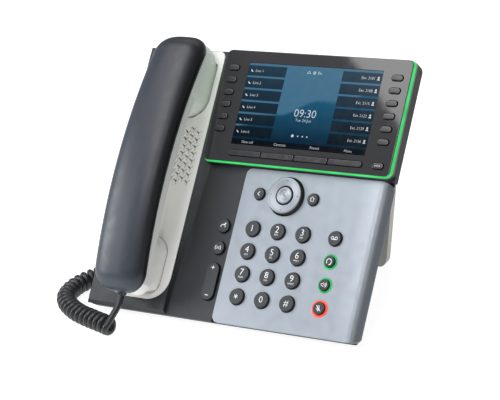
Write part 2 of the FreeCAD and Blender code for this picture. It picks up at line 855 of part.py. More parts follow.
def display_bezel():
    """The glossy frame round the screen, with a hole for each of its keys."""
    body = new_body("display_bezel")
    outline = new_sketch(body, "outline", level=cell("bezel_rim_back"))
    draw_head(outline, cell("bezel_inset"))
    plate = add_pad(body, "plate", outline, cell("head_front") - cell("bezel_rim_back"))
    add_fillet(body, "soft_edge", plate, edges_at(plate, cell("head_front")), 0.5)
    step = new_sketch(body, "step", level=cell("bezel_rim_back") + 0.2)
    draw_head(step, cell("light_depth") + cell("gap"))
    add_pad(body, "inner_plate", step, cell("bezel_rim_back") + 0.2 - cell("bezel_back"), down=True)
    openings = new_sketch(body, "openings", level=cell("head_front"))
    draw_rectangle(openings, cell("screen_left"), cell("screen_right"),
                   cell("screen_low"), cell("screen_high"))
    grow = cell("pill_gap")
    for label, across, up, length, corners in pill_keys():
        draw_pill(openings, across, up, length + grow * 2, cell("pill_width") + grow * 2)
    half_length = cell("soft_length") / 2 + grow
    half_width = cell("pill_width") / 2 + grow
    draw_rounded(openings, cell("soft_first") - half_length,
                 cell("soft_first") + cell("soft_pitch") * 3 + half_length,
                 cell("soft_up") - half_width, cell("soft_up") + half_width,
                 [cell("soft_end_corner") + grow] * 4)
    body.Tip = add_pocket(body, "cuts", openings)
    place_on_face(body)


def draw_head(sketch, inset):
    """The outline of the display head, drawn in by an inset all round."""
    inset = as_size(inset)
    draw_rounded(sketch, cell("head_left") + inset, cell("half_width") - inset,
                 cell("head_low") + inset, cell("head_high") - inset,
                 [cell("head_corner") - inset] * 4)


def light_bar():
    """The light guide round the head's side: a sloping lit band over an upright frosted one."""
    body = new_body("light_bar")
    foot = new_sketch(body, "foot", level=cell("plinth_top"))
    draw_head(foot, 0)
    add_pad(body, "frosted_band", foot, cell("light_lower") - cell("plinth_top"))
    wide = new_sketch(body, "lit_band_foot", level=cell("light_lower"))
    draw_head(wide, 0)
    narrow = new_sketch(body, "lit_band_top", level=cell("bezel_rim_back"))
    draw_head(narrow, cell("bezel_inset"))
    add_loft(body, "lit_band", wide, narrow)
    room = new_sketch(body, "room", level=cell("bezel_rim_back"))
    draw_head(room, cell("light_depth"))
    body.Tip = add_pocket(body, "middle", room)
    place_on_face(body)


def display_module():
    """The screen: a framed panel with its glass standing in the bezel's window."""
    body = new_body("display_module")
    rim = cell("module_rim")
    frame = new_sketch(body, "frame", level=cell("module_back"))
    draw_rectangle(frame, cell("screen_left") - rim, cell("screen_right") + rim,
                   cell("screen_low") - rim, cell("screen_high") + rim)
    add_pad(body, "back_frame", frame, cell("bezel_back") - 0.1 - cell("module_back"))
    glass = new_sketch(body, "glass", level=cell("bezel_back") - 0.3)
    draw_rectangle(glass, cell("screen_left") + 0.15, cell("screen_right") - 0.15,
                   cell("screen_low") + 0.15, cell("screen_high") - 0.15)
    body.Tip = add_pad(body, "glass_sheet", glass, cell("glass_level") - cell("bezel_back") + 0.3)
    place_on_face(body)


# ---------------------------------------------------------------- keys


def round_key(label, across, up, radius, hole, top):
    """A cap, the flange that keeps it in, and the stem that works its switch."""
    body = new_body(label)
    cap = new_sketch(body, label + "_cap", level=cell("flange_top") - 0.2)
    draw_circle(cap, 0, 0, radius)
    cap_pad = add_pad(body, label + "_top", cap, top - cell("flange_top") + 0.2)
    add_fillet(body, label + "_edge", cap_pad, edges_at(cap_pad, top), cell("key_round"))
    flange = new_sketch(body, label + "_flange", level=cell("flange_bottom"))
    draw_circle(flange, 0, 0, hole + cell("flange_over"))
    add_pad(body, label + "_rim", flange, cell("flange_top") - cell("flange_bottom"))
    stem = new_sketch(body, label + "_stem", level=cell("flange_bottom") + 0.2)
    draw_circle(stem, 0, 0, cell("stem_radius"))
    length = cell("flange_bottom") + 0.2 - cell("stem_end")
    body.Tip = add_pad(body, label + "_plunger", stem, length, down=True)
    place_on_face(body, across, up)


def pill_key(label, across, up, length, corners):
    """A long key of the display head."""
    body = new_body(label)
    top = cell("head_front") + cell("pill_proud")
    seat = cell("bezel_back") - cell("gap")
    cap = new_sketch(body, label + "_cap", level=seat - 0.2)
    draw_key_shape(cap, 0, 0, length, corners)
    cap_pad = add_pad(body, label + "_top", cap, top - seat + 0.2)
    add_fillet(body, label + "_edge", cap_pad, edges_at(cap_pad, top), 0.5)
    flange = new_sketch(body, label + "_flange", level=seat - 1.1)
    draw_rectangle(flange, as_size(0) - length / 2, length / 2, -3.0, 3.0)
    add_pad(body, label + "_rim", flange, 1.1)
    stem = new_sketch(body, label + "_stem", level=seat - 0.9)
    draw_circle(stem, 0, 0, 1.5)
    drop = seat - 0.9 - cell("pill_stem_end")
    body.Tip = add_pad(body, label + "_plunger", stem, drop, down=True)
    place_on_face(body, across, up)


def volume_rocker():
    """The long volume key, which rocks about its middle."""
    body = new_body("volume_rocker")
    half_width = cell("volume_width") / 2
    half_length = cell("volume_length") / 2
    top = cell("left_proud")
    cap = new_sketch(body, "rocker_cap", level=cell("flange_top") - 0.8)
    draw_rounded(cap, -half_width, half_width, -half_length, half_length,
                 [half_width - 0.01] * 4)
    cap_pad = add_pad(body, "rocker_top", cap, top - cell("flange_top") + 0.8)
    add_fillet(body, "rocker_edge", cap_pad, edges_at(cap_pad, top), cell("key_round"))
    flange = new_sketch(body, "rocker_flange", level=cell("flange_bottom") - 0.6)
    draw_rectangle(flange, -half_width - 1.4, half_width + 1.4, -half_length + 3, half_length - 3)
    add_pad(body, "rocker_rim", flange, 1.0)
    pivot = new_sketch(body, "rocker_pivot", level=cell("flange_bottom") - 0.4)
    draw_rectangle(pivot, -3, 3, -1.2, 1.2)
    body.Tip = add_pad(body, "rocker_foot", pivot, cell("flange_bottom") - 0.4 - cell("stem_end"),
                       down=True)
    place_on_face(body, cell("left_column"), cell("volume_up"))


def add_turned(body, name, outline):
    """Turn a half outline of (radius, height) points about the Z axis."""
    sketch = new_sketch(body, name + "_outline", "XZ_Plane")
    draw_polygon(sketch, outline)
    finish_sketch(sketch)
    feature = body.newObject("PartDesign::Revolution", name)
    feature.Profile = sketch
    feature.ReferenceAxis = (sketch, ["V_Axis"])
    feature.Angle = 360.0
    return feature


def nav_ring():
    """The ring that tilts four ways round the select key."""
    body = new_body("nav_ring")
    radius = cell("nav_radius")
    bore = cell("nav_bore")
    top = cell("nav_level")
    outline = [(bore, top - 0.5), (bore + 0.6, top - 0.9), (radius - 2.6, top), (radius - 0.9, top - 0.1),
               (radius, top - 0.9), (radius, as_size(-5.6)), (radius + 2.4, as_size(-5.6)),
               (radius + 2.4, as_size(-6.6)), (bore + 2, as_size(-6.6)), (bore + 2, as_size(-1.5)),
               (bore, as_size(-1.5))]
    body.Tip = add_turned(body, "tilt_ring", outline)
    place_on_face(body, cell("nav_across"), cell("nav_up"))


def nav_pivot():
    """The gimbal plate under the ring."""
    body = new_body("nav_pivot")
    outline = [(as_size(5.4), as_size(-9.5)), (as_size(9.4), as_size(-9.5)),
               (as_size(9.4), as_size(-7.7)), (as_size(5.4), as_size(-7.7))]
    body.Tip = add_turned(body, "gimbal", outline)
    place_on_face(body, cell("nav_across"), cell("nav_up"))


def select_key():
    """The round key in the middle of the ring."""
    body = new_body("select_key")
    radius = cell("select_radius")
    top = cell("select_level")
    outline = [(as_size(0), top), (radius - 0.6, top), (radius, top - 0.6), (radius, as_size(-2.7)),
               (radius + 1.9, as_size(-2.7)), (radius + 1.9, as_size(-3.8)), (as_size(2.4), as_size(-3.8)),
               (as_size(2.4), cell("stem_end")), (as_size(0), cell("stem_end"))]
    body.Tip = add_turned(body, "select_cap", outline)
    place_on_face(body, cell("nav_across"), cell("nav_up"))


def hook_switch():
    """The sprung tongue that the handset holds down."""
    body = new_body("hook_switch")
    tongue = new_sketch(body, "tongue", level=cell("ear_floor") - 8)
    draw_rectangle(tongue, -4, 4, -3, 3)
    top = cell("ear_floor") - 0.1
    column = add_pad(body, "column", tongue, top - cell("ear_floor") + 8)
    add_fillet(body, "tip", column, edges_at(column, top), 0.8)
    arm = new_sketch(body, "arm", level=cell("ear_floor") - 9.2)
    draw_rectangle(arm, -6, 6, -5, 5)
    body.Tip = add_pad(body, "shoulder", arm, 1.3)
    place_on_face(body, cell("cradle_centre"), HOOK_SWITCH_UP)


# ---------------------------------------------------------------- handset


def arch_centre():
    """Height of the arch's axis, and where along the face it stands."""
    return cell("parting") - cell("arch_radius"), cell("arch_up")


BAR_SWEEP = 36.0
HOLLOW_SWEEP = (10.5, 14.07)


def add_arch(body, name, half, low, high, cut_sweep=None):
    """A bar of rectangular section bent along the handset's arch, or a groove of that section
    that runs cut_sweep degrees up and down from the arch's middle."""
    axis_height, middle = arch_centre()
    sketch = new_sketch(body, name + "_section", "XZ_Plane", level=-middle)
    draw_rectangle(sketch, -half, half, low, high)
    drawing = DRAWINGS[sketch.Name]
    axis = drawing.add(Part.LineSegment(flat_vector(-half, axis_height),
                                        flat_vector(half, axis_height)), helper=True)
    hold_point(drawing, axis, 1, -half, axis_height)
    hold_point(drawing, axis, 2, half, axis_height)
    finish_sketch(sketch)
    kind = "PartDesign::Groove" if cut_sweep else "PartDesign::Revolution"
    feature = body.newObject(kind, name)
    feature.Profile = sketch
    feature.ReferenceAxis = (sketch, ["Axis0"])
    if cut_sweep:
        feature.Type = "TwoAngles"
        feature.Angle, feature.Angle2 = cut_sweep
    else:
        feature.Midplane = True
        feature.Angle = BAR_SWEEP
    return feature


def handset_frame(sketch, half, low, high, corners):
    """A wide frame whose hole is the handset's outline seen from the front."""
    draw_rectangle(sketch, -FAR, FAR, -FAR, FAR)
    draw_rounded(sketch, -half, half, low, high, corners)


def handset_shell():
    """The dark outer half: an arched cap, open underneath."""
    body = new_body("handset_shell")
    half = cell("grip_half")
    add_arch(body, "bar", half + 2, cell("parting"), cell("crown"))
    frame = new_sketch(body, "frame", level=80)
    low_corner = cell("grip_corner") - 2
    high_corner = cell("grip_corner") + 1
    handset_frame(frame, half, cell("grip_low"), cell("grip_high"),
                  [low_corner, high_corner, high_corner, low_corner])
    trimmed = add_pocket(body, "ends", frame)
    crown_edges = edges_where(trimmed, is_crown_edge)
    add_fillet(body, "soft_crown", trimmed, crown_edges, cell("grip_round"))
    wall = cell("grip_wall")
    body.Tip = add_arch(body, "hollow", half - wall, cell("parting") - 1, cell("crown") - wall,
                        cut_sweep=HOLLOW_SWEEP)
    place_on_face(body, cell("cradle_centre"))


def is_crown_edge(box):
    """True for the edges of the arched top, which all lie above the arched underside."""
    axis_height, middle = arch_centre()
    reach = cell("crown").value - axis_height.value
    for up, out in ((box.YMin, box.ZMin), (box.YMin, box.ZMax), (box.YMax, box.ZMin), (box.YMax, box.ZMax)):
        if math.hypot(up - middle.value, out - axis_height.value) > reach + TOUCH:
            return box.YLength > 1.0 and box.ZMin > cell("parting").value - 6
    return False


def handset_inner():
    """The light inner half: the grip's underside, and the ear and mouth ends."""
    body = new_body("handset_inner")
    sides = new_sketch(body, "end_sides", "YZ_Plane")
    draw_polygon(sides, [(203.4, 16.0), (201.0, 12.5), (188.4, 1.0), (186.0, -2.0), (152.0, -2.0),
                         (147.4, 3.0), (140.0, 22.0), (150.0, 27.2), (196.0, 17.8)])
    draw_polygon(sides, [(9.2, 22.5), (11.0, 14.0), (16.0, 3.0), (17.5, -0.5), (48.0, -0.5),
                         (54.0, 3.0), (66.0, 24.0), (60.0, 29.4), (16.0, 23.8)])
    add_pad(body, "ends_block", sides, cell("grip_half") * 2 - 1.6, both_ways=True)
    frame = new_sketch(body, "ends_frame", level=60)
    draw_rectangle(frame, -FAR, FAR, -FAR, FAR)
    draw_rounded(frame, -20.7, 20.7, 147.8, 203.2, [16, 17, 17, 16])
    draw_rounded(frame, -18.4, 18.4, 9.4, 56, [14, 14, 14, 14])
    add_pocket(body, "ends_outline", frame)
    grip = add_arch(body, "grip_bar", cell("inner_half"), cell("grip_under"), cell("parting") - 0.1)
    trim = new_sketch(body, "grip_trim", level=80)
    handset_frame(trim, cell("grip_half") - 0.6, cell("grip_low") + 0.8, cell("grip_high") - 0.8,
                  [14, 16, 16, 14])
    add_pocket(body, "grip_ends", trim)
    collar = new_sketch(body, "collar", "XZ_Plane", level=-12)
    draw_circle(collar, 0, GLAND_OUT, 3.3)
    body.Tip = add_pad(body, "cord_collar", collar, 12 - GLAND_UP.value)
    place_on_face(body, cell("cradle_centre"))


GLAND_OUT = as_size(19.0)
GLAND_UP = as_size(7.4)


def handset_capsules():
    """The receiver and the microphone inside the two ends."""
    receiver = doc.addObject("Part::Cylinder", "receiver")
    receiver.Radius = 15.0
    receiver.Height = 4.0
    receiver.Placement.Base = FreeCAD.Vector(0, 171, 26.0)
    receiver.Placement.Rotation = FreeCAD.Rotation(FreeCAD.Vector(1, 0, 0), -11)
    microphone = doc.addObject("Part::Cylinder", "microphone")
    microphone.Radius = 5.0
    microphone.Height = 4.4
    microphone.Placement.Base = FreeCAD.Vector(0, 34, 28.3)
    both = doc.addObject("Part::Compound", "handset_capsules")
    both.Label = "handset_capsules"
    both.Links = [receiver, microphone]
    place_on_face(both, cell("cradle_centre"))


# ---------------------------------------------------------------- inside the body


def box(name, left, right, low, high, bottom, top):
    """A Part::Box between sides given in the face frame, each bound to the sheet."""
    piece = doc.addObject("Part::Box", name)
    sides = [as_size(side) for side in (left, right, low, high, bottom, top)]
    piece.setExpression("Length", (sides[1] - sides[0]).text)
    piece.setExpression("Width", (sides[3] - sides[2]).text)
    piece.setExpression("Height", (sides[5] - sides[4]).text)
    piece.setExpression("Placement.Base.x", sides[0].text)
    piece.setExpression("Placement.Base.y", sides[2].text)
    piece.setExpression("Placement.Base.z", sides[4].text)
    return piece


def cut(name, base, tool):
    piece = doc.addObject("Part::Cut", name)
    piece.Base = base
    piece.Tool = tool
    return piece


def main_board():
    """The circuit boards and the sockets, each a solid of its own."""
    under = cell("board_top") - cell("board_thickness")
    pieces = [box("key_board", -30, 87, 13, 112.6, under, cell("board_top"))]
    pieces.append(box("screen_board", cell("head_left") + 4, cell("half_width") - 4,
                      cell("head_low") + 4, cell("head_high") - 4, cell("deck_level") + 0.2, 1.3))
    mouth = cell("rear_level") - 0.3
    for index, (across, width, height) in enumerate(jack_places()):
        block = box(f"jack_block_{index}", across - width / 2, across + width / 2,
                    JACK_UP - height / 2, JACK_UP + height / 2, mouth, under)
        hollow = box(f"jack_hollow_{index}", across - width / 2 + 2, across + width / 2 - 2,
                     JACK_UP - height / 2 + 1.8, JACK_UP + height / 2 - 1.8, mouth - 1, mouth + 11)
        pieces.append(cut(f"jack_{index}", block, hollow))
    pieces.append(box("handset_jack", -107, -93, HANDSET_JACK_UP - 6, HANDSET_JACK_UP + 6,
                      HANDSET_JACK_OUT - 6, HANDSET_JACK_OUT + 6))
    group = doc.addObject("Part::Compound", "main_board")
    group.Label = "main_board"
    group.Links = pieces
    place_on_face(group)


def loudspeaker():
    """The hands-free loudspeaker behind the slots: flange, basket and magnet."""
    body = new_body("loudspeaker")
    outline = [(0, -3.2), (14, -0.4), (20.5, -0.4), (20.5, -2.4), (17, -2.4), (10.5, -9.5),
               (10.5, -14.5), (0, -14.5)]
    body.Tip = add_turned(body, "driver", outline)
    place_on_face(body, cell("cradle_centre"), (GRILLE_LOW + GRILLE_HIGH) / 2)


def housing_screws():
    """The screws that close the housing from behind."""
    screws = []
    for index, (across, up) in enumerate(screw_places()):
        head = doc.addObject("Part::Cylinder", f"screw_head_{index}")
        head.Radius = 2.8
        head.Height = 2.0
        shank = doc.addObject("Part::Cylinder", f"screw_shank_{index}")
        shank.Radius = SCREW_RADIUS
        low = cell("rear_level") + 1.0
        shank_low = low + 1.5
        shank.setExpression("Height", (cell("thread_top") - 0.3 - shank_low).text)
        for part, out in ((head, low), (shank, shank_low)):
            part.setExpression("Placement.Base.x", across.text)
            part.setExpression("Placement.Base.y", up.text)
            part.setExpression("Placement.Base.z", out.text)
        screw = doc.addObject("Part::Fuse", f"screw_{index}")
        screw.Base = head
        screw.Tool = shank
        screws.append(screw)
    group = doc.addObject("Part::Compound", "housing_screws")
    group.Label = "housing_screws"
    group.Links = screws
    place_on_face(group)


# ---------------------------------------------------------------- feet and stand


def base_feet():
    """Two rubber pads under the front of the body, cut to the slope of its underside."""
    rim = row_point(0, SIZES["rear_top_low"], SIZES["side_bottom"])
    back = row_point(0, SIZES["rear_low"], SIZES["rear_level"])
    slope = math.degrees(math.atan2(back.z - rim.z, back.y - rim.y))
    pads = []
    for name, side in (("left_foot", -1), ("right_foot", 1)):
        middle = as_size(70.0 * side)
        front = cell("depth_shift") + 12.0
        block = box(name + "_block", middle - 16, middle + 16, front, front + 12, 0, FOOT_BLOCK)
        above = doc.addObject("Part::Box", name + "_above")
        above.Length = above.Width = above.Height = 2 * FAR
        turn = FreeCAD.Rotation(FreeCAD.Vector(1, 0, 0), slope)
        above.Placement = FreeCAD.Placement(FreeCAD.Vector(-FAR, rim.y, rim.z - 3 * TOUCH), turn)
        pads.append(cut(name, block, above))
    group = doc.addObject("Part::Compound", "base_feet")
    group.Label = "base_feet"
    group.Links = pads


FOOT_BLOCK = 8.0
STAND_SLOPE = 0.4858
STAND_FOOT = 119.0
STAND_THICK = 6.5
STAND_TOP = 96.0


def leg_point(height, behind):
    """A point on the leg's front face, or behind it, in row Y and Z."""
    return (SIZES["depth_shift"] + STAND_FOOT + STAND_SLOPE * height + behind, height)


def back_point(up, off):
    """A point off the rear housing's back, in row Y and Z."""
    point = row_point(0, up, SIZES["rear_level"] - off)
    return (point.y, point.z)


def stand():
    """The easel: a leaning leg plate whose hollow head hooks on the back of the housing."""
    body = new_body("stand")
    side = new_sketch(body, "side_view", "YZ_Plane")
    off = 0.35
    draw_polygon(side, [leg_point(0, 0), leg_point(0, STAND_THICK), leg_point(STAND_TOP, STAND_THICK),
                        back_point(172, off), back_point(128, off), leg_point(56, 0)])
    add_pad(body, "block", side, cell("stand_half") * 2, both_ways=True)
    room = new_sketch(body, "room", "YZ_Plane")
    skin = 3.2
    draw_polygon(room, [leg_point(STAND_TOP - 5, STAND_THICK - skin), back_point(168, -4),
                        back_point(132, -4), leg_point(62, STAND_THICK - skin)])
    inner = (cell("stand_half") - cell("stand_rib")) * 2
    add_pocket(body, "head_hollow", room, inner, both_ways=True)
    add_hooks(body)
    corners = edges_where(body.Tip, is_foot_corner)
    body.Tip = add_fillet(body, "foot_corners", body.Tip, corners, 5.0)
    body.Placement = FreeCAD.Placement()


def is_foot_corner(edge_box):
    """True for the two short edges at the lower outer corners of the leg."""
    return (edge_box.ZMax < TOUCH and edge_box.XLength < TOUCH
            and abs(edge_box.YLength - STAND_THICK) < TOUCH
            and abs(abs(edge_box.XMax) - SIZES["stand_half"]) < TOUCH)


def add_hooks(body):
    """Two ribs across the hollow head, each with a headed hook for a keyhole of the back."""
    ribs = new_sketch(body, "rib_sides", "YZ_Plane", level=-HOOK_ACROSS)
    rib = [leg_point(STAND_TOP - 4, STAND_THICK - 2.5), back_point(160, 0.35), back_point(138, 0.35),
           leg_point(66, STAND_THICK - 2.5)]
    neck = [back_point(HOOK_LOW + 8, 1), back_point(HOOK_LOW + 8, -3.4),
            back_point(HOOK_LOW + 2, -3.4), back_point(HOOK_LOW + 2, 1)]
    draw_polygon(ribs, rib)
    add_pad(body, "left_rib", ribs, 3.4, both_ways=True)
    other = new_sketch(body, "other_rib_sides", "YZ_Plane", level=HOOK_ACROSS)
    draw_polygon(other, rib)
    add_pad(body, "right_rib", other, 3.4, both_ways=True)
    for name, across in (("left", -HOOK_ACROSS), ("right", HOOK_ACROSS)):
        neck_sketch = new_sketch(body, name + "_neck_sides", "YZ_Plane", level=across)
        draw_polygon(neck_sketch, neck)
        add_pad(body, name + "_neck", neck_sketch, 3.4, both_ways=True)
        head_sketch = new_sketch(body, name + "_head_sides", "YZ_Plane", level=across)
        head = [back_point(HOOK_LOW + 8, -2.9), back_point(HOOK_LOW + 8, -4.6),
                back_point(HOOK_LOW + 1, -4.6), back_point(HOOK_LOW + 1, -2.9)]
        draw_polygon(head_sketch, head)
        body.Tip = add_pad(body, name + "_head", head_sketch, 7.4, both_ways=True)


# ---------------------------------------------------------------- cord


def rounded_path(points, label):
    """Straight runs joined by arcs as large as their runs allow."""
    edges = []
    start = points[0]
    radii = []
    for index in range(1, len(points) - 1):
        before = points[index - 1] - points[index]
        after = points[index + 1] - points[index]
        trim = 0.45 * min(before.Length, after.Length)
        turn = math.pi - before.getAngle(after)
        radii.append(round(trim / math.tan(turn / 2), 1))
        before.normalize()
        after.normalize()
        arc_start = points[index] + before * trim
        arc_end = points[index] + after * trim
        inward = before + after
        inward.normalize()
        bow = trim / math.tan(turn / 2)
        middle = points[index] + inward * (math.hypot(bow, trim) - bow)
        edges.append(Part.LineSegment(start, arc_start).toShape())
        edges.append(Part.Arc(arc_start, middle, arc_end).toShape())
        start = arc_end
    edges.append(Part.LineSegment(start, points[-1]).toShape())
    print(label, "bend radii in mm", radii)
    return Part.Wire(edges)


def tube(label, points, radius):
    """A plain round tube along a route, checked against its section times its length."""
    path = rounded_path(points, label)
    heading = points[1] - points[0]
    section = Part.Wire([Part.Circle(points[0], heading, radius).toShape()])
    solid = path.makePipeShell([section], True, True)
    wanted = math.pi * radius * radius * path.Length
    print(label, "length", round(path.Length, 1), "volume ratio", round(solid.Volume / wanted, 4))
    piece = doc.addObject("Part::Feature", label)
    piece.Label = label
    piece.Shape = solid
    return piece


def on_desk(across, back, height):
    """A point of the cord's route, its depth measured from the body's front edge."""
    return FreeCAD.Vector(across, back + SIZES["depth_shift"], height)


COIL_ROUTE = [(-74.0, -25.0), (-84.0, -22.6), (-94.5, -19.6), (-105.5, -16.6), (-116.0, -12.6),
              (-126.0, -7.0), (-134.3, -0.4), (-139.2, 7.4), (-140.8, 16.2), (-139.8, 25.4),
              (-136.4, 34.0), (-131.0, 41.6), (-127.6, 50.0)]


def cord_coil():
    """The outer shape of the coiled stretch, lying on the desk."""
    route = [on_desk(across, back, SIZES["coil_radius"]) for across, back in COIL_ROUTE]
    tube("cord_coil", route, SIZES["coil_radius"])


def cord_lead():
    """The straight stretch from the handset down to the coil."""
    centre = SIZES["cradle_centre"]
    start = row_point(centre, GLAND_UP.value - 0.3, GLAND_OUT.value)
    second = row_point(centre, GLAND_UP.value - 10.5, GLAND_OUT.value + 0.6)
    coil_end = on_desk(COIL_ROUTE[0][0] + 0.05, COIL_ROUTE[0][1], SIZES["coil_radius"])
    route = [start, second, on_desk(-68.4, -23.6, 13.0), on_desk(-69.6, -25.8, 8.6), coil_end]
    tube("cord_lead", route, SIZES["wire_radius"])


def cord_tail():
    """The straight stretch from the coil's far end up to the socket in the body's side."""
    socket = row_point(-107.1, HANDSET_JACK_UP.value, HANDSET_JACK_OUT.value)
    coil_end = on_desk(COIL_ROUTE[-1][0], COIL_ROUTE[-1][1] + 0.05, SIZES["coil_radius"])
    route = [coil_end, on_desk(-126.0, 57.0, 8.6), on_desk(-125.2, 64.4, 15.4),
             on_desk(-125.4, 69.4, 27.0), on_desk(-124.4, 70.4, 40.0),
             FreeCAD.Vector(-118.6, socket.y + 0.4, 50.2), socket]
    tube("cord_tail", route, SIZES["wire_radius"])


# ---------------------------------------------------------------- build, check and write


def build():
    front_housing()
    keypad_panel()
    rear_housing()
    cradle_panel()
    display_bezel()
    light_bar()
    display_module()
    for key in round_keys() + left_keys():
        round_key(*key)
    for key in pill_keys() + soft_keys():
        pill_key(*key)
    volume_rocker()
    nav_ring()
    nav_pivot()
    select_key()
    hook_switch()
    handset_shell()
    handset_inner()
    handset_capsules()
    main_board()
    loudspeaker()
    housing_screws()
    base_feet()
    stand()
    cord_coil()
    cord_lead()
    cord_tail()


def node_objects():
    """The finished sub-parts: bodies, and the groups and tubes that nothing else uses."""
    nodes = []
    for item in doc.Objects:
        if item.TypeId == "PartDesign::Body":
            nodes.append(item)
        elif item.TypeId in ("Part::Compound", "Part::Feature") and not item.InList:
            nodes.append(item)
    return nodes


def check(nodes):
    """Stop when any object has failed or any sub-part is empty or broken."""
    bad = [item.Name for item in doc.Objects if {"Invalid", "Error"} & set(item.State)]
    for node in nodes:
        if node.Shape.isNull() or not node.Shape.isValid() or not node.Shape.Solids:
            bad.append("shape of " + node.Label)
    if bad:
        raise SystemExit("failed: " + ", ".join(bad))


def write(nodes):
    os.makedirs("parts", exist_ok=True)
    whole = FreeCAD.BoundBox()
    for node in nodes:
        node.Shape.exportStep(os.path.join("parts", node.Label + ".step"))
        if not node.Label.startswith("cord_"):
            whole.add(node.Shape.BoundBox)
    print(len(nodes), "nodes")
    print("box without the cord", [round(side, 2) for side in (
        whole.XMin, whole.XMax, whole.YMin, whole.YMax, whole.ZMin, whole.ZMax)])


build()
doc.recompute()
NODES = node_objects()
check(NODES)
write(NODES)
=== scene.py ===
"""The looks of a desk telephone: finishes, key legends, lit rings, screen, curly cord, light.

Small shapes are drawn in the face frame: X to the right, Y up the leaning face and Z out of
it, in millimetres. Their places are read from the CAD nodes. A material's place is in metres:
in the phone's own frame on a CAD node, and in the face frame on a piece made here.
"""
import json
import math

import bpy
from mathutils import Matrix, Vector


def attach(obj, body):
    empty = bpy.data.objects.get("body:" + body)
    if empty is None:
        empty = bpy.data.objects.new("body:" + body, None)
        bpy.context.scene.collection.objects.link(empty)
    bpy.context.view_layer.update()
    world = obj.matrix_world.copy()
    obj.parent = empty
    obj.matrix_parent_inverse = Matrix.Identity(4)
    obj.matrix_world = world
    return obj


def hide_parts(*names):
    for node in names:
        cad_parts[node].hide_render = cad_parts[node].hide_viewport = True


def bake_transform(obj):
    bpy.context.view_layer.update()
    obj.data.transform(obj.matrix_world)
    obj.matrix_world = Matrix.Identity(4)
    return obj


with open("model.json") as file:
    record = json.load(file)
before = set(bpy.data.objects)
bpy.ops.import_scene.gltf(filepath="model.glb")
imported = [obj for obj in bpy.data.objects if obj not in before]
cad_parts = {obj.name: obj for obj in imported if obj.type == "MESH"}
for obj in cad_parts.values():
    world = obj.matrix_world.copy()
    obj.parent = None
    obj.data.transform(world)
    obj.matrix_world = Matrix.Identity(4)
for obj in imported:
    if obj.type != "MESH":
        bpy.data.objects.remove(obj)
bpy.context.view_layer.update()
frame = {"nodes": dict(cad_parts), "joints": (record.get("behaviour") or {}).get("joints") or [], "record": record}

MM = 0.001
NODES = frame["nodes"]
RECORD = frame["record"]
LIFT = next(joint for joint in frame["joints"] if joint["name"] == "handset_lift")
OUT = Vector(LIFT["axis"]).normalized()
UP = Vector((0.0, OUT.z, -OUT.y))
ORIGIN = Vector((0.0, -0.07747, 0.008))
FACE = Matrix.Translation(ORIGIN) @ Matrix((
    (1.0, 0.0, 0.0), (0.0, UP.y, OUT.y), (0.0, UP.z, OUT.z))).to_4x4()
TO_FACE = FACE.inverted()
SCENE = bpy.context.scene
PATCH_SCALE = 45.0
GLOSS_SCALE = 160.0
GRAIN_DEPTH = 0.0002
MIX_FIRST, MIX_SECOND, MIX_RESULT = 6, 7, 2


def face_box(node):
    """Lowest and highest corner of a CAD node in the face frame, in millimetres."""
    points = [(TO_FACE @ vertex.co) / MM for vertex in NODES[node].data.vertices]
    low = [min(point[axis] for point in points) for axis in range(3)]
    high = [max(point[axis] for point in points) for axis in range(3)]
    return low, high


def middle(node):
    """Across and up of a node's middle, and the level of its top."""
    low, high = face_box(node)
    return (low[0] + high[0]) / 2, (low[1] + high[1]) / 2, high[2]


# ------------------------------------------------------------------ finishes


def tone(code):
    """A #rrggbb colour as linear light."""
    values = [int(code[place:place + 2], 16) / 255 for place in (1, 3, 5)]
    linear = [v / 12.92 if v <= 0.04045 else ((v + 0.055) / 1.055) ** 2.4 for v in values]
    return (linear[0], linear[1], linear[2], 1.0)


def scaled(colour, factor):
    return tuple(min(1.0, part * factor) for part in colour[:3]) + (1.0,)


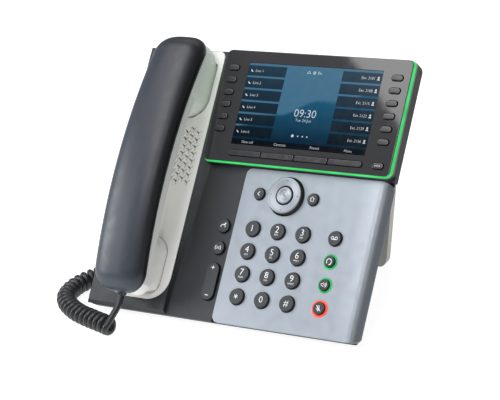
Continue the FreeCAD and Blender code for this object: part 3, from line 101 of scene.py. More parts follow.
class Finish:
    """A node material, and short ways to add to its tree."""

    def __init__(self, name):
        self.material = bpy.data.materials.new(name)
        self.material.use_nodes = True
        self.tree = self.material.node_tree
        self.shader = self.tree.nodes["Principled BSDF"]
        self.place = self.node("ShaderNodeTexCoord").outputs["Object"]

    def node(self, kind, **values):
        made = self.tree.nodes.new(kind)
        for key, value in values.items():
            setattr(made, key, value)
        return made

    def join(self, source, target):
        self.tree.links.new(source, target)

    def noise(self, scale, detail=2.0):
        made = self.node("ShaderNodeTexNoise")
        made.inputs["Scale"].default_value = scale
        made.inputs["Detail"].default_value = detail
        self.join(self.place, made.inputs["Vector"])
        return made.outputs["Fac"]

    def between(self, factor, low, high, start=0.3, end=0.7):
        """A number from low to high as factor goes from start to end."""
        made = self.node("ShaderNodeMapRange")
        ends = (("From Min", start), ("From Max", end), ("To Min", low), ("To Max", high))
        for key, value in ends:
            made.inputs[key].default_value = value
        self.join(factor, made.inputs["Value"])
        return made.outputs["Result"]

    def mix(self, factor, first, second):
        """A colour from first to second; either may be a socket."""
        made = self.node("ShaderNodeMix", data_type="RGBA")
        self.join(factor, made.inputs["Factor"])
        for key, value in ((MIX_FIRST, first), (MIX_SECOND, second)):
            if isinstance(value, tuple):
                made.inputs[key].default_value = value
            else:
                self.join(value, made.inputs[key])
        return made.outputs[MIX_RESULT]

    def combine(self, operation, first, second):
        """Two numbers added or multiplied."""
        made = self.node("ShaderNodeMath", operation=operation)
        self.join(first, made.inputs[0])
        self.join(second, made.inputs[1])
        return made.outputs["Value"]

    def along(self, source, direction):
        """How far a vector reaches along a fixed direction."""
        made = self.node("ShaderNodeVectorMath", operation="DOT_PRODUCT")
        self.join(source, made.inputs[0])
        made.inputs[1].default_value = direction
        return made.outputs["Value"]

    def level(self):
        """Millimetres out from the face's plane, for paint on a CAD node."""
        away = self.node("ShaderNodeVectorMath", operation="SUBTRACT")
        self.join(self.place, away.inputs[0])
        away.inputs[1].default_value = ORIGIN
        return self.along(away.outputs["Vector"], OUT / MM)

    def axes(self):
        """The place's three coordinates."""
        split = self.node("ShaderNodeSeparateXYZ")
        self.join(self.place, split.inputs["Vector"])
        return split.outputs

    def patches(self, scale=PATCH_SCALE, detail=3.0):
        """Soft patches, as a share from 0 to 1."""
        return self.between(self.noise(scale, detail), 0.0, 1.0)

    def paint(self, colour):
        self.join(colour, self.shader.inputs["Base Color"])

    def glow(self, colour, strength):
        self.join(colour, self.shader.inputs["Emission Color"])
        self.shader.inputs["Emission Strength"].default_value = strength


def shade_sides(finish, code, top_code, direction, start, end):
    """Painted shade: paint that changes with how squarely a surface faces a direction."""
    geometry = finish.node("ShaderNodeNewGeometry")
    facing = finish.along(geometry.outputs["Normal"], direction)
    share = finish.between(facing, 0.0, 1.0, start, end)
    colour = finish.mix(share, tone(code), tone(top_code))
    finish.paint(colour)
    return colour


def silver_paint_and_painted_edge_light(finish):
    """Silver paint that fades up the panel; on its rolled right edge a painted highlight, then painted shade on
    the flank.
    """
    place = finish.axes()
    depth = finish.between(place["Y"], 0.0, 1.0, -0.09, 0.03)
    colour = finish.mix(depth, tone("#9da5ae"), tone("#959da6"))
    # A painted highlight on the rolled edge, then painted shade on its flank.
    for start, end, code in ((0.091, 0.103, "#a9b0b9"), (0.1045, 0.1085, "#71767d")):
        share = finish.between(place["X"], 0.0, 1.0, start, end)
        colour = finish.mix(share, colour, tone(code))
    finish.paint(colour)


def moulded(name, rough, grain=0.12, grain_scale=2600.0, spread=0.05, **extra):
    """Uneven gloss and a fine moulded grain, still without paint."""
    finish = Finish(name)
    gloss = finish.between(finish.noise(GLOSS_SCALE, 3.0), rough - spread, rough + spread)
    finish.join(gloss, finish.shader.inputs["Roughness"])
    bump = finish.node("ShaderNodeBump")
    bump.inputs["Strength"].default_value = grain
    bump.inputs["Distance"].default_value = GRAIN_DEPTH
    finish.join(finish.noise(grain_scale), bump.inputs["Height"])
    finish.join(bump.outputs["Normal"], finish.shader.inputs["Normal"])
    for key, value in extra.items():
        finish.shader.inputs[key.replace("_", " ")].default_value = value
    return finish


def plastic(name, code, rough, mottle=0.06, **look):
    """Moulded plastic or paint with faint mottling."""
    finish = moulded(name, rough, **look)
    base = tone(code)
    finish.paint(finish.mix(finish.patches(), scaled(base, 1 - mottle), scaled(base, 1 + mottle)))
    return finish


REAR = plastic("rear_plastic_finish", "#2e3034", 0.55, grain=0.4, grain_scale=1300.0)
SILVER = moulded("silver_panel_finish", 0.34, grain=0.05, Metallic=0.35)
silver_paint_and_painted_edge_light(SILVER)
LIGHT = plastic("light_plastic_finish", "#f1f0ec", 0.45, mottle=0.02)
BEZEL = plastic("bezel_finish", "#333335", 0.05, mottle=0.02, grain=0.0, spread=0.01)
SHELL = moulded("handset_finish", 0.38, grain=0.1, Specular_IOR_Level=0.4)
# Painted shade: the handset is painted darker on faces turned to the right and up.
shade_sides(SHELL, "#3d434e", "#101215", OUT.cross(UP) * -0.7 + UP * 0.75, -0.4, 0.6)
# Painted shade: the grey of the grille marks stands for the shade in shallow grooves.
ARMS = plastic("grille_arm_finish", "#7c7c7a", 0.5, mottle=0.1)
STAND = plastic("stand_finish", "#bdbcb7", 0.5, mottle=0.03)
KEYS = moulded("key_finish", 0.4)
# Painted shade: the keys' sides are painted nearly black, their tops dark grey.
shade_sides(KEYS, "#050506", "#26282c", OUT, 0.55, 0.9)
PILLS = moulded("pill_key_finish", 0.25, grain=0.02)
# Painted shade: the line and soft keys' sides are painted nearly black, their tops dark grey.
shade_sides(PILLS, "#020203", "#2b2b2d", OUT, 0.6, 0.95)
BLACK = plastic("black_finish", "#08090a", 0.55, mottle=0.3)
RUBBER = plastic("rubber_finish", "#16171a", 0.8, grain=0.4, grain_scale=1500.0)
CORD = plastic("cord_finish", "#1b1c1f", 0.38, mottle=0.1, grain=0.1)
STEEL = plastic("steel_finish", "#9c9ea1", 0.3, mottle=0.08, Metallic=1.0)
GOLD = plastic("contact_finish", "#caa24a", 0.28, mottle=0.06, Metallic=1.0)
# The legends are print with a painted glow: they give off a little light of their own.
PRINT_AND_PAINTED_GLOW = plastic("legend_finish", "#e2e5ea", 0.5, mottle=0.03, Emission_Color=tone("#e2e5ea"),
                Emission_Strength=0.25)
NAV = plastic("nav_finish", "#8b9097", 0.38, mottle=0.02, grain=0.0, spread=0.01, Metallic=0.6)
GLASS = plastic("glass_finish", "#050608", 0.12, mottle=0.2, grain=0.01)


def lit(name, code, strength, core):
    """A lamp lens: its glow varies a little along it."""
    finish = plastic(name, code, 0.35, mottle=0.08)
    glow = finish.mix(finish.patches(130.0, 2.0), tone(code), tone(core))
    finish.glow(glow, strength)
    return finish


GREEN = lit("green_ring_finish", "#128540", 0.85, "#2cc469")
RED = lit("red_ring_finish", "#e23a28", 0.9, "#ff6a50")


def deck_with_painted_shade():
    """The deck's finish, with painted shade along the valley beside the raised left part and on faces turned to
    the right.
    """
    finish = moulded("deck_with_painted_shade", 0.5, grain=0.3, grain_scale=1500.0, Specular_IOR_Level=0.4)
    place = finish.axes()
    wander = finish.between(finish.noise(14.0, 3.0), -0.004, 0.004)
    across = finish.combine("ADD", place["X"], wander)
    left = finish.between(across, 0.0, 1.0, -0.047, -0.038)
    right = finish.between(across, 1.0, 0.0, -0.038, -0.018)
    back = finish.between(place["Y"], 0.0, 1.0, -0.078, -0.03)
    # Painted shade along the valley.
    valley = finish.combine("MULTIPLY", finish.combine("MULTIPLY", left, right), back)
    # Painted shade on faces turned to the right.
    sides = shade_sides(finish, "#2a2d32", "#0d0e10", (1.0, 0.0, 0.0), 0.3, 0.8)
    finish.paint(finish.mix(valley, sides, tone("#0d0e10")))
    return finish


def board_finish():
    """Green boards, and the black socket bodies that hang below them in the same CAD node."""
    finish = moulded("board_finish", 0.5, grain_scale=600.0)
    above = finish.between(finish.level(), 0.0, 1.0, -12.3, -12.15)
    green = finish.mix(finish.patches(), tone("#10442a"), tone("#175c36"))
    finish.paint(finish.mix(above, tone("#0a0b0c"), green))
    return finish


def guide_finish():
    """The light guide: a lit green upper band over a frosted lower one."""
    finish = moulded("light_guide_finish", 0.5)
    band = finish.between(finish.level(), 0.0, 1.0, 4.6, 4.9)
    finish.paint(finish.mix(band, tone("#56615f"), tone("#0d6a2c")))
    lamp = finish.mix(finish.patches(60.0, 2.0), tone("#16b84a"), tone("#35dd70"))
    finish.glow(finish.mix(band, (0.0, 0.0, 0.0, 1.0), lamp), 1.0)
    return finish


DECK = deck_with_painted_shade()
BOARD = board_finish()
GUIDE = guide_finish()


# ------------------------------------------------------------------ CAD nodes


def dress(node, finish, edge=0.25):
    """A carried-over CAD node gets its finish, and its sharp edges a small radius."""
    piece = NODES[node]
    piece.data.materials.clear()
    piece.data.materials.append(finish.material)
    for polygon in piece.data.polygons:
        polygon.use_smooth = True
    weld = piece.modifiers.new("weld", "WELD")
    weld.merge_threshold = 0.00001
    flat = piece.modifiers.new("flat", "DECIMATE")
    flat.decimate_type = "DISSOLVE"
    flat.angle_limit = math.radians(1.0)
    if edge:
        bevel = piece.modifiers.new("edges", "BEVEL")
        bevel.width = edge * MM
        bevel.segments = 2
        bevel.limit_method = "ANGLE"
        bevel.angle_limit = math.radians(35.0)
    normals = piece.modifiers.new("normals", "WEIGHTED_NORMAL")
    normals.keep_sharp = True


ROUND_KEYS = [f"key_{name}" for name in ("1", "2", "3", "4", "5", "6", "7", "8", "9", "star", "0",
                                         "hash")]
SIDE_KEYS = ["voicemail_key", "headset_key", "speaker_key", "mute_key", "back_key", "home_key"]
LEFT_KEYS = ["call_key", "hold_key", "volume_rocker"]
LINE_KEYS = [f"line_key_{side}_{index}" for side in ("left", "right") for index in range(1, 7)]
SOFT_KEYS = [f"soft_key_{index}" for index in range(1, 5)]

dress("front_housing", DECK)
dress("rear_housing", REAR)
dress("keypad_panel", SILVER, 0.2)
for node in ("cradle_panel", "handset_inner"):
    dress(node, LIGHT)
dress("stand", STAND)
dress("display_bezel", BEZEL, 0.2)
dress("light_bar", GUIDE, 0.0)
dress("display_module", GLASS, 0.0)
dress("main_board", BOARD, 0.0)
dress("housing_screws", STEEL, 0.1)
dress("base_feet", RUBBER)
for node in ("loudspeaker", "handset_capsules", "nav_pivot", "hook_switch"):
    dress(node, BLACK)
for node in ROUND_KEYS + SIDE_KEYS + LEFT_KEYS:
    dress(node, KEYS, 0.0)
for node in SOFT_KEYS:
    dress(node, PILLS, 0.15)


# ------------------------------------------------------------------ small shapes


def piece_from(name, points, faces, finish, body, smooth=True):
    """A new piece from points in the face frame, in millimetres."""
    mesh = bpy.data.meshes.new(name)
    mesh.from_pydata([tuple(Vector(point) * MM) for point in points], [], faces)
    mesh.validate()
    mesh.materials.append(finish.material)
    for polygon in mesh.polygons:
        polygon.use_smooth = smooth
    piece = bpy.data.objects.new(name, mesh)
    SCENE.collection.objects.link(piece)
    piece.matrix_world = FACE
    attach(piece, body)
    return piece


CAPITAL_SHARE = 0.73
LETTER_THIN = 0.017


class Shape:
    """Points and faces gathered for one piece."""

    def __init__(self):
        self.points = []
        self.faces = []

    def add(self, points, faces):
        start = len(self.points)
        self.points += [tuple(point) for point in points]
        self.faces += [[start + index for index in face] for face in faces]

    def stack(self, rings, closed=True):
        """Skin rings of equal count, lowest first."""
        count = len(rings[0])
        points = [point for ring in rings for point in ring]
        faces = []
        for level in range(len(rings) - 1):
            for index in range(count):
                after = (index + 1) % count
                low = level * count
                high = low + count
                faces.append([low + index, low + after, high + after, high + index])
        if closed:
            faces.append(list(range(count))[::-1])
            faces.append([len(points) - count + index for index in range(count)])
        self.add(points, faces)

    def prism(self, outline, low, high):
        self.stack([[(x, y, level) for x, y in outline] for level in (low, high)])

    def turn(self, profile, across, up, steps=72):
        """Turn a closed profile of (radius, level) points about an upright axis."""
        rings = []
        for radius, level in profile:
            ring = []
            for step in range(steps):
                angle = 2 * math.pi * step / steps
                x = across + radius * math.cos(angle)
                ring.append((x, up + radius * math.sin(angle), level))
            rings.append(ring)
        rings.append(rings[0])
        self.stack(rings, closed=False)

    def curve(self, splines, width, level, thick=0.1):
        """Round-ended strokes, flattened onto a level."""
        curve = bpy.data.curves.new("stroke", "CURVE")
        curve.dimensions = "3D"
        curve.bevel_depth = width / 2
        curve.bevel_resolution = 1
        curve.use_fill_caps = True
        for points, closed in splines:
            spline = curve.splines.new("POLY")
            spline.points.add(len(points) - 1)
            for point, (x, y) in zip(spline.points, points):
                point.co = (x, y, 0.0, 1.0)
            spline.use_cyclic_u = closed
        self.take(curve, level, thick / width)

    def text(self, words, across, up, size, level, thick=0.1, align="CENTER"):
        """Words in the plain built-in letters; size is about a capital's height."""
        curve = bpy.data.curves.new("words", "FONT")
        curve.body = words
        curve.size = size / CAPITAL_SHARE
        curve.align_x = align
        curve.extrude = thick / 2
        curve.offset = -LETTER_THIN * size
        curve.resolution_u = 3
        self.take(curve, level, 1.0, across, up)

    def take(self, curve, level, flatten, across=0.0, up=0.0):
        holder = bpy.data.objects.new("holder", curve)
        SCENE.collection.objects.link(holder)
        bpy.context.view_layer.update()
        graph = bpy.context.evaluated_depsgraph_get()
        mesh = bpy.data.meshes.new_from_object(holder.evaluated_get(graph))
        points = [(v.co.x + across, v.co.y + up, v.co.z * flatten + level) for v in mesh.vertices]
        self.add(points, [list(polygon.vertices) for polygon in mesh.polygons])
        bpy.data.objects.remove(holder)
        bpy.data.meshes.remove(mesh)
        bpy.data.curves.remove(curve)

    def make(self, name, finish, body, slot, smooth=True):
        return piece_from(name, self.points, self.faces, finish, body, smooth)


def arc(across, up, radius, start, end, steps=14):
    points = []
    for step in range(steps + 1):
        angle = math.radians(start + (end - start) * step / steps)
        points.append((across + radius * math.cos(angle), up + radius * math.sin(angle)))
    return points


def rounded(left, right, low, high, radius, steps=6):
    """Outline of a rectangle with round corners."""
    corners = [(right - radius, high - radius, 0), (left + radius, high - radius, 90),
               (left + radius, low + radius, 180), (right - radius, low + radius, 270)]
    points = []
    for across, up, start in corners:
        points += arc(across, up, radius, start, start + 90, steps)
    return points


# ------------------------------------------------------------------ handset


ARCH_RADIUS = 400.0
ARCH_UP = 94.0
SHELL_DEPTH = 11.0
PLAN_RADIUS = 15.5
CROWN_RADIUS = 11.0
END_SHARE = 0.16
END_GAP = 0.02
SQUARENESS = 0.74
SECTION_STEPS = 40
LENGTH_STEPS = 90


def arch_fall(up):
    """How far the handset's arch has fallen from its highest line."""
    return ARCH_RADIUS - math.sqrt(ARCH_RADIUS ** 2 - (up - ARCH_UP) ** 2)


def round_end(distance, radius):
    """Share of the full size at a distance from a rounded end."""
    short = max(0.0, 1.0 - distance / radius)
    return math.sqrt(max(0.0, 1.0 - short * short))


def shell_ring(up, low, high):
    """One section of the shell: a crowned top over straight lower edges."""
    near_end = min(up - low[1], high[1] - up)
    plan = (high[0] - low[0]) / 2 - PLAN_RADIUS * (1.0 - round_end(near_end, PLAN_RADIUS))
    thin = END_SHARE + (1.0 - END_SHARE) * round_end(near_end, CROWN_RADIUS)
    tall = SHELL_DEPTH * thin
    base = high[2] - SHELL_DEPTH - arch_fall(up)
    centre = (low[0] + high[0]) / 2
    ring = []
    for step in range(SECTION_STEPS + 1):
        angle = math.pi * step / SECTION_STEPS
        across = math.copysign(abs(math.cos(angle)) ** SQUARENESS, math.cos(angle))
        ring.append((centre + plan * across, up, base + tall * math.sin(angle) ** SQUARENESS))
    return ring


def handset_top():
    """The handset's outer half, crowned across and arched along."""
    low, high = face_box("handset_shell")
    start = low[1] + END_GAP
    length = high[1] - low[1] - 2 * END_GAP
    ups = [start + length * (1 - math.cos(math.pi * step / LENGTH_STEPS)) / 2
           for step in range(LENGTH_STEPS + 1)]
    shape = Shape()
    shape.stack([shell_ring(up, low, high) for up in ups])
    top = shape.make("handset_top", SHELL, "handset", "handset_dark")
    top.modifiers.new("normals", "WEIGHTED_NORMAL").keep_sharp = True
    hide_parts("handset_shell")


# ------------------------------------------------------------------ legends


LETTERS = {"2": "ABC", "3": "DEF", "4": "GHI", "5": "JKL", "6": "MNO", "7": "PQRS", "8": "TUV",
           "9": "WXYZ"}
PRINT_UP = 0.06
DIGIT = 4.9
LETTER = 1.25
STAR_REACH = 1.7


def legend(node, shape):
    return shape.make(node + "_legend", PRINT_AND_PAINTED_GLOW, node, "key_dark")


def star_strokes(across, up):
    """Three strokes that cross in one point."""
    strokes = []
    for degrees in (90, 30, 150):
        x = STAR_REACH * math.cos(math.radians(degrees))
        y = STAR_REACH * math.sin(math.radians(degrees))
        strokes.append(([(across + x, up + y), (across - x, up - y)], False))
    return strokes


def dial_legends():
    for node in ROUND_KEYS:
        across, up, top = middle(node)
        sign = {"star": "*", "hash": "#"}.get(node[4:], node[4:])
        shape = Shape()
        letters = LETTERS.get(sign)
        if sign == "*":
            shape.curve(star_strokes(across, up), 0.45, top + PRINT_UP)
        elif letters:
            shape.text(sign, across, up - 1.0, DIGIT, top + PRINT_UP)
            shape.text(letters, across, up - 3.1, LETTER, top + PRINT_UP)
        else:
            shape.text(sign, across, up - 2.0, DIGIT, top + PRINT_UP)
        legend(node, shape)


def icon(node, strokes, width=0.55):
    """A sign of round-ended strokes about the middle of a key."""
    across, up, top = middle(node)
    shape = Shape()
    moved = [([(across + x, up + y) for x, y in points], closed) for points, closed in strokes]
    shape.curve(moved, width, top + PRINT_UP)
    legend(node, shape)


def handset_icon():
    """A telephone handset on its back: a bow with two short ends."""
    bow = arc(0, -1.3, 2.3, 150, 30)
    return [(bow, False), ([bow[0], (bow[0][0] + 0.5, bow[0][1] - 0.9)], False),
            ([bow[-1], (bow[-1][0] - 0.5, bow[-1][1] - 0.9)], False)]


def icons():
    icon("back_key", [([(0.8, 1.5), (-0.8, 0), (0.8, -1.5)], False)])
    icon("home_key", [([(-1.7, 0.1), (0, 1.7), (1.7, 0.1)], False),
                      ([(-1.2, 0.2), (-1.2, -1.5), (1.2, -1.5), (1.2, 0.2)], False)], 0.45)
    icon("voicemail_key", [(arc(-1.5, 0.1, 1.0, 0, 345), True), (arc(1.5, 0.1, 1.0, 0, 345), True),
                           ([(-1.5, -0.9), (1.5, -0.9)], False)], 0.45)
    icon("headset_key", [(arc(0, 0, 1.9, 200, -20), False), ([(-1.8, -0.4), (-1.6, -1.6)], False),
                         ([(1.8, -0.4), (1.6, -1.6)], False),
                         ([(1.7, -1.6), (0.9, -2.2), (0.2, -2.2)], False)])
    icon("speaker_key", [([(-2.0, 0.6), (-1.2, 0.6), (-0.1, 1.6), (-0.1, -1.6), (-1.2, -0.6),
                           (-2.0, -0.6)], True),
                         (arc(-0.2, 0, 1.4, 45, -45), False),
                         (arc(-0.2, 0, 2.3, 45, -45), False)], 0.45)
    icon("mute_key", [([(-0.6, 0), (-0.6, 1.3), (0, 1.9), (0.6, 1.3), (0.6, 0), (0, -0.5)], True),
                      (arc(0, 0.1, 1.4, 200, 340), False), ([(0, -1.3), (0, -2.2)], False),
                      ([(-1.9, 1.9), (1.9, -1.9)], False)], 0.45)
    icon("call_key", handset_icon() + [([(0.2, 0.3), (1.9, 2.0)], False),
                                       ([(0.9, 2.1), (2.0, 2.1), (2.0, 1.1)], False)], 0.5)
    icon("hold_key", [([(-0.7, -1.0), (-0.7, 1.0)], False), ([(0.7, -1.0), (0.7, 1.0)], False),
                      (arc(0, 0, 2.3, 140, 220), False), (arc(0, 0, 2.3, -40, 40), False)], 0.5)
    icon("volume_rocker", [([(-1.3, 10.2), (1.3, 10.2)], False), ([(0, 8.9), (0, 11.5)], False),
                           ([(-1.3, -10.2), (1.3, -10.2)], False)])
    more_dots()


def more_dots():
    """Three dots in a row on the key at the frame's corner."""
    across, up, top = middle("more_key")
    shape = Shape()
    for side in (-1, 0, 1):
        shape.curve([(arc(across + 1.6 * side, up, 0.2, 0, 330), True)], 0.4, top + PRINT_UP)
    legend("more_key", shape)


# ------------------------------------------------------------------ keys, rings and knob


LINE_KEY_HALF = 2.1
LINE_KEY_CROWN = [(0.0, 0.4), (0.06, 0.2), (0.2, 0.06), (0.4, 0.01), (0.9, 0.0)]
RING_FOOT = -3.0
RING_CROWN = [(0.0, 0.3), (0.2, 0.62), (0.5, 0.72), (0.8, 0.55), (1.0, 0.12)]


def line_key(node):
    """A crowned capsule over the key's own outline."""
    low, high = face_box(node)
    centre = (low[1] + high[1]) / 2
    levels = [(0.0, low[2])] + [(inset, high[2] - depth) for inset, depth in LINE_KEY_CROWN]
    rings = []
    for inset, level in levels:
        half = LINE_KEY_HALF - inset
        sides = (low[0] + inset, high[0] - inset, centre - half, centre + half)
        rings.append([(x, y, level) for x, y in rounded(*sides, half - 0.01)])
    shape = Shape()
    shape.stack(rings)
    cap = shape.make(node + "_cap", PILLS, node, "key_dark")
    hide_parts(node)


def lit_ring(node, inner, outer, finish):
    """A lamp ring with a rounded top round a key."""
    across, up = middle(node)[:2]
    crown = [(inner + share * (outer - inner), level) for share, level in RING_CROWN]
    shape = Shape()
    shape.turn([(inner, RING_FOOT)] + crown + [(outer, RING_FOOT)], across, up)
    shape.make(node + "_ring", finish, "housing", "green_light_guide")


DISH = [(7.1, 2.2), (7.1, 0.75), (7.3, 0.6), (7.8, 0.6), (9.6, 0.3), (11.4, 0.08), (12.3, 0.0),
        (12.9, 0.1), (13.2, 0.4), (13.25, 0.8), (13.1, 1.0)]
SKIRT_HOLE = 7.15
SKIRT_RADIUS = 13.4
SKIRT_FLANGE = 2.3
CAP = [(0.01, 0.9), (0.01, 0.25), (1.6, 0.2), (1.8, 0.32), (2.0, 0.17), (3.2, 0.1), (3.4, 0.24),
       (3.6, 0.08), (5.2, 0.0), (5.8, 0.06), (6.1, 0.35), (6.1, 0.9)]
CAP_SIDE = [(0.01, 0.8), (6.0, 0.8), (5.9, 2.4), (5.9, 6.6), (7.8, 6.6), (7.8, 7.7), (2.4, 7.7)]


def below(top, pairs):
    """A profile of (radius, depth below the top) as (radius, level)."""
    return [(radius, top - depth) for radius, depth in pairs]


def turned(name, profile, node, steps, finish, slot):
    """A ring turned about the middle of a node, and riding with it."""
    across, up = middle(node)[:2]
    shape = Shape()
    shape.turn(profile, across, up, steps)
    return shape.make(name, finish, node, slot)


def knob():
    """The tilting ring: a silver dish with four marks, on a black skirt whose black is painted shade of the ring's
    side wall.
    """
    low, high = face_box("nav_ring")
    top = high[2]
    turned("nav_dish", below(top, DISH), "nav_ring", 128, NAV, "nav_silver")
    flange = SKIRT_RADIUS + SKIRT_FLANGE
    foot = low[2]
    profile = [(SKIRT_HOLE, foot)] + below(top, [(SKIRT_HOLE, 1.6), (12.9, 1.6), (13.0, 0.95),
                                                 (SKIRT_RADIUS, 1.0)])
    profile += [(SKIRT_RADIUS, foot + 1.0), (flange, foot + 1.0), (flange, foot)]
    # Painted shade: the black skirt stands for the shaded side wall round the dish.
    skirt = turned("nav_skirt", profile, "nav_ring", 128, BLACK, "key_dark")
    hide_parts("nav_ring")
    ring_marks()


def ring_marks():
    """Four small arrow heads on the dish."""
    across, up, top = middle("nav_ring")
    marks = Shape()
    for turn in range(4):
        angle = math.pi / 2 * turn
        points = []
        for x, y in ((-0.55, 10.4), (0.0, 11.1), (0.55, 10.4)):
            points.append((across + x * math.cos(angle) - y * math.sin(angle),
                           up + x * math.sin(angle) + y * math.cos(angle)))
        marks.curve([(points, False)], 0.3, top - 0.1, 0.12)
    marks.make("nav_marks", BLACK, "nav_ring", "nav_silver")


def select_key():
    """The key in the ring: a silver cap with two fine grooves on a black side; the side's black is painted shade.
    """
    low, high = face_box("select_key")
    top = high[2]
    turned("select_cap", below(top, CAP), "select_key", 96, NAV, "nav_silver")
    profile = [(0.01, low[2])] + below(top, CAP_SIDE) + [(2.4, low[2])]
    # Painted shade: the black side stands for the key's shaded side wall.
    side = turned("select_side", profile, "select_key", 96, BLACK, "key_dark")
    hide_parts("select_key")


# ------------------------------------------------------------------ screen


GLASS_TOP = middle("display_module")[2]
PAPER_LEVEL = GLASS_TOP + 0.02
BOX_LEVEL = GLASS_TOP + 0.03
WORD_LEVEL = GLASS_TOP + 0.045
WORD_THICK = 0.02
PICTURE_LEFT = -18.45
PICTURE_RIGHT = 92.1
PICTURE_LOW = 129.3
PICTURE_HIGH = 191.2
BAR_HIGH = 133.6
ROWS = 6
ROW_TOP = 189.5
ROW_STEP = 9.27
BOX_TALL = 7.8
LEFT_BOX_END = 13.5
RIGHT_BOX_START = 60.0


def screen_paint(name, top_code, low_code, strength=1.0):
    """Screen light that falls from the top to the bottom of the screen."""
    finish = plastic(name, "#020304", 0.16, mottle=0.1, grain=0.01, Specular_IOR_Level=0.1)
    fall = finish.between(finish.axes()["Y"], 0.0, 1.0, 0.135, 0.188)
    colour = finish.mix(fall, tone(low_code), tone(top_code))
    finish.glow(colour, strength)
    return finish, fall, colour


def wallpaper_paint():
    """A pale sky over a dark hillside that rises to the right."""
    finish, fall, sky = screen_paint("wallpaper_finish", "#446f8a", "#3a6a86")
    slope = finish.along(finish.place, (-0.30, 1.0, 0.0))
    wander = finish.between(finish.noise(45.0, 3.0), -0.003, 0.003)
    above = finish.between(finish.combine("ADD", slope, wander), 0.0, 1.0, 0.1485, 0.1515)
    near = finish.between(fall, 0.0, 1.0, 0.0, 0.5)
    hill = finish.mix(near, tone("#002338"), tone("#14506e"))
    finish.glow(finish.mix(above, hill, sky), 1.0)
    return finish


def screen_sheet(name, finish, boxes, low_level, high_level, radius=0.3):
    """Thin rectangles on the glass; each box is its left, right, low and high side."""
    shape = Shape()
    for left, right, low, high in boxes:
        shape.prism(rounded(left, right, low, high, radius), low_level, high_level)
    shape.make(name, finish, "housing", "screen", smooth=False)


def screen_layers():
    """Wallpaper, label boxes, words and signs, each a thin layer on the last."""
    screen_sheet("screen_wallpaper", wallpaper_paint(),
                 [(PICTURE_LEFT, PICTURE_RIGHT, PICTURE_LOW, PICTURE_HIGH)],
                 GLASS_TOP + 0.005, PAPER_LEVEL)
    screen_sheet("screen_label_bar", screen_paint("bar_finish", "#020b14", "#010810")[0],
                 [(PICTURE_LEFT, PICTURE_RIGHT, PICTURE_LOW, BAR_HIGH)], PAPER_LEVEL, BOX_LEVEL)
    boxes = []
    for row in range(ROWS):
        top = ROW_TOP - ROW_STEP * row
        boxes.append((PICTURE_LEFT, LEFT_BOX_END, top - BOX_TALL, top))
        boxes.append((RIGHT_BOX_START, PICTURE_RIGHT, top - BOX_TALL, top))
    screen_sheet("screen_label_boxes", screen_paint("box_finish", "#20384a", "#01111c")[0], boxes,
                 PAPER_LEVEL, BOX_LEVEL, 0.35)
    screen_words()


def line_labels(words):
    """A number and a handset on the left of each row; a number and a head on the right."""
    for row in range(ROWS):
        line = ROW_TOP - ROW_STEP * row - 4.9
        words.text(f"Line {row + 1}", -12.5, line, 2.1, WORD_LEVEL, WORD_THICK, "LEFT")
        words.text(f"Ext. {2101 + 7 * row}", 86.6, line, 2.1, WORD_LEVEL, WORD_THICK, "RIGHT")
        signs = ((handset_sign(-15.3, line + 1.0), False, 0.75),
                 (arc(89.1, line + 1.6, 0.45, 0, 330), True, 0.6),
                 (arc(89.1, line - 0.5, 0.85, 20, 160, 8), True, 0.6))
        for points, closed, width in signs:
            words.curve([(points, closed)], width, WORD_LEVEL, WORD_THICK)


def screen_words():
    """The clock, the date, the row labels, the soft keys' labels and small signs."""
    words = Shape()
    line_labels(words)
    words.text("09:30", 37.1, 153.2, 6.1, WORD_LEVEL, WORD_THICK)
    words.text("Tue 24 Jun", 36.8, 149.8, 2.2, WORD_LEVEL, WORD_THICK)
    labels = (("New call", -5.0), ("Contacts", 22.3), ("Recent", 51.0), ("Menu", 78.0))
    for label, across in labels:
        words.text(label, across, 130.6, 2.0, WORD_LEVEL, WORD_THICK)
    words.curve([(arc(30.9, 139.0, 0.5, 0, 345), True)], 1.1, WORD_LEVEL, WORD_THICK)
    for across in (35.3, 39.1, 42.9):
        words.curve([(arc(across, 139.0, 0.25, 0, 330), True)], 0.55, WORD_LEVEL, WORD_THICK)
    words.curve([([(31.0, 186.0), (32.4, 187.8), (33.8, 186.0)], True),
                 (arc(37.0, 186.6, 0.9, 0, 345), True),
                 ([(40.4, 185.8), (40.4, 187.8)], False), ([(41.6, 185.8), (41.6, 187.2)], False),
                 ([(42.8, 185.8), (42.8, 186.6)], False)], 0.45, WORD_LEVEL, WORD_THICK)
    finish = screen_paint("words_finish", "#e9eef2", "#d6dee6", strength=0.9)[0]
    words.make("screen_words", finish, "housing", "screen", smooth=False)


def handset_sign(across, up):
    """The points of a small slanting handset."""
    return [(across - 0.8, up + 0.6), (across - 0.55, up - 0.1), (across + 0.1, up - 0.65),
            (across + 0.8, up - 0.8)]


# ------------------------------------------------------------------ cord


COIL_ROUTE = [(-0.074, -0.025), (-0.084, -0.0226), (-0.0945, -0.0196), (-0.1055, -0.0166),
              (-0.116, -0.0126), (-0.126, -0.007), (-0.1343, -0.0004), (-0.1392, 0.0074),
              (-0.1408, 0.0162), (-0.1398, 0.0254), (-0.1364, 0.034), (-0.131, 0.0416),
              (-0.1276, 0.050)]
COIL_HEIGHT = 0.0074
WIRE = 0.0048
TURN_RADIUS = 0.0050
TURN_PITCH = 0.0054
TURN_POINTS = 14
LAST_POINTS = 5
START_ANGLE = -40.0
COIL_INSET = 0.003
GLAND = (7.1, 19.0)
SOCKET = (-107.1, 80.0, -22.0)


def row_point(across, up, out):
    """A point of the face frame, in millimetres, as a point in the phone's own frame."""
    return FACE @ (Vector((across, up, out)) * MM)


def on_desk(across, back, height):
    """A point in the phone's own frame; back is measured from the face frame's origin."""
    return Vector((across, back + ORIGIN.y, height))


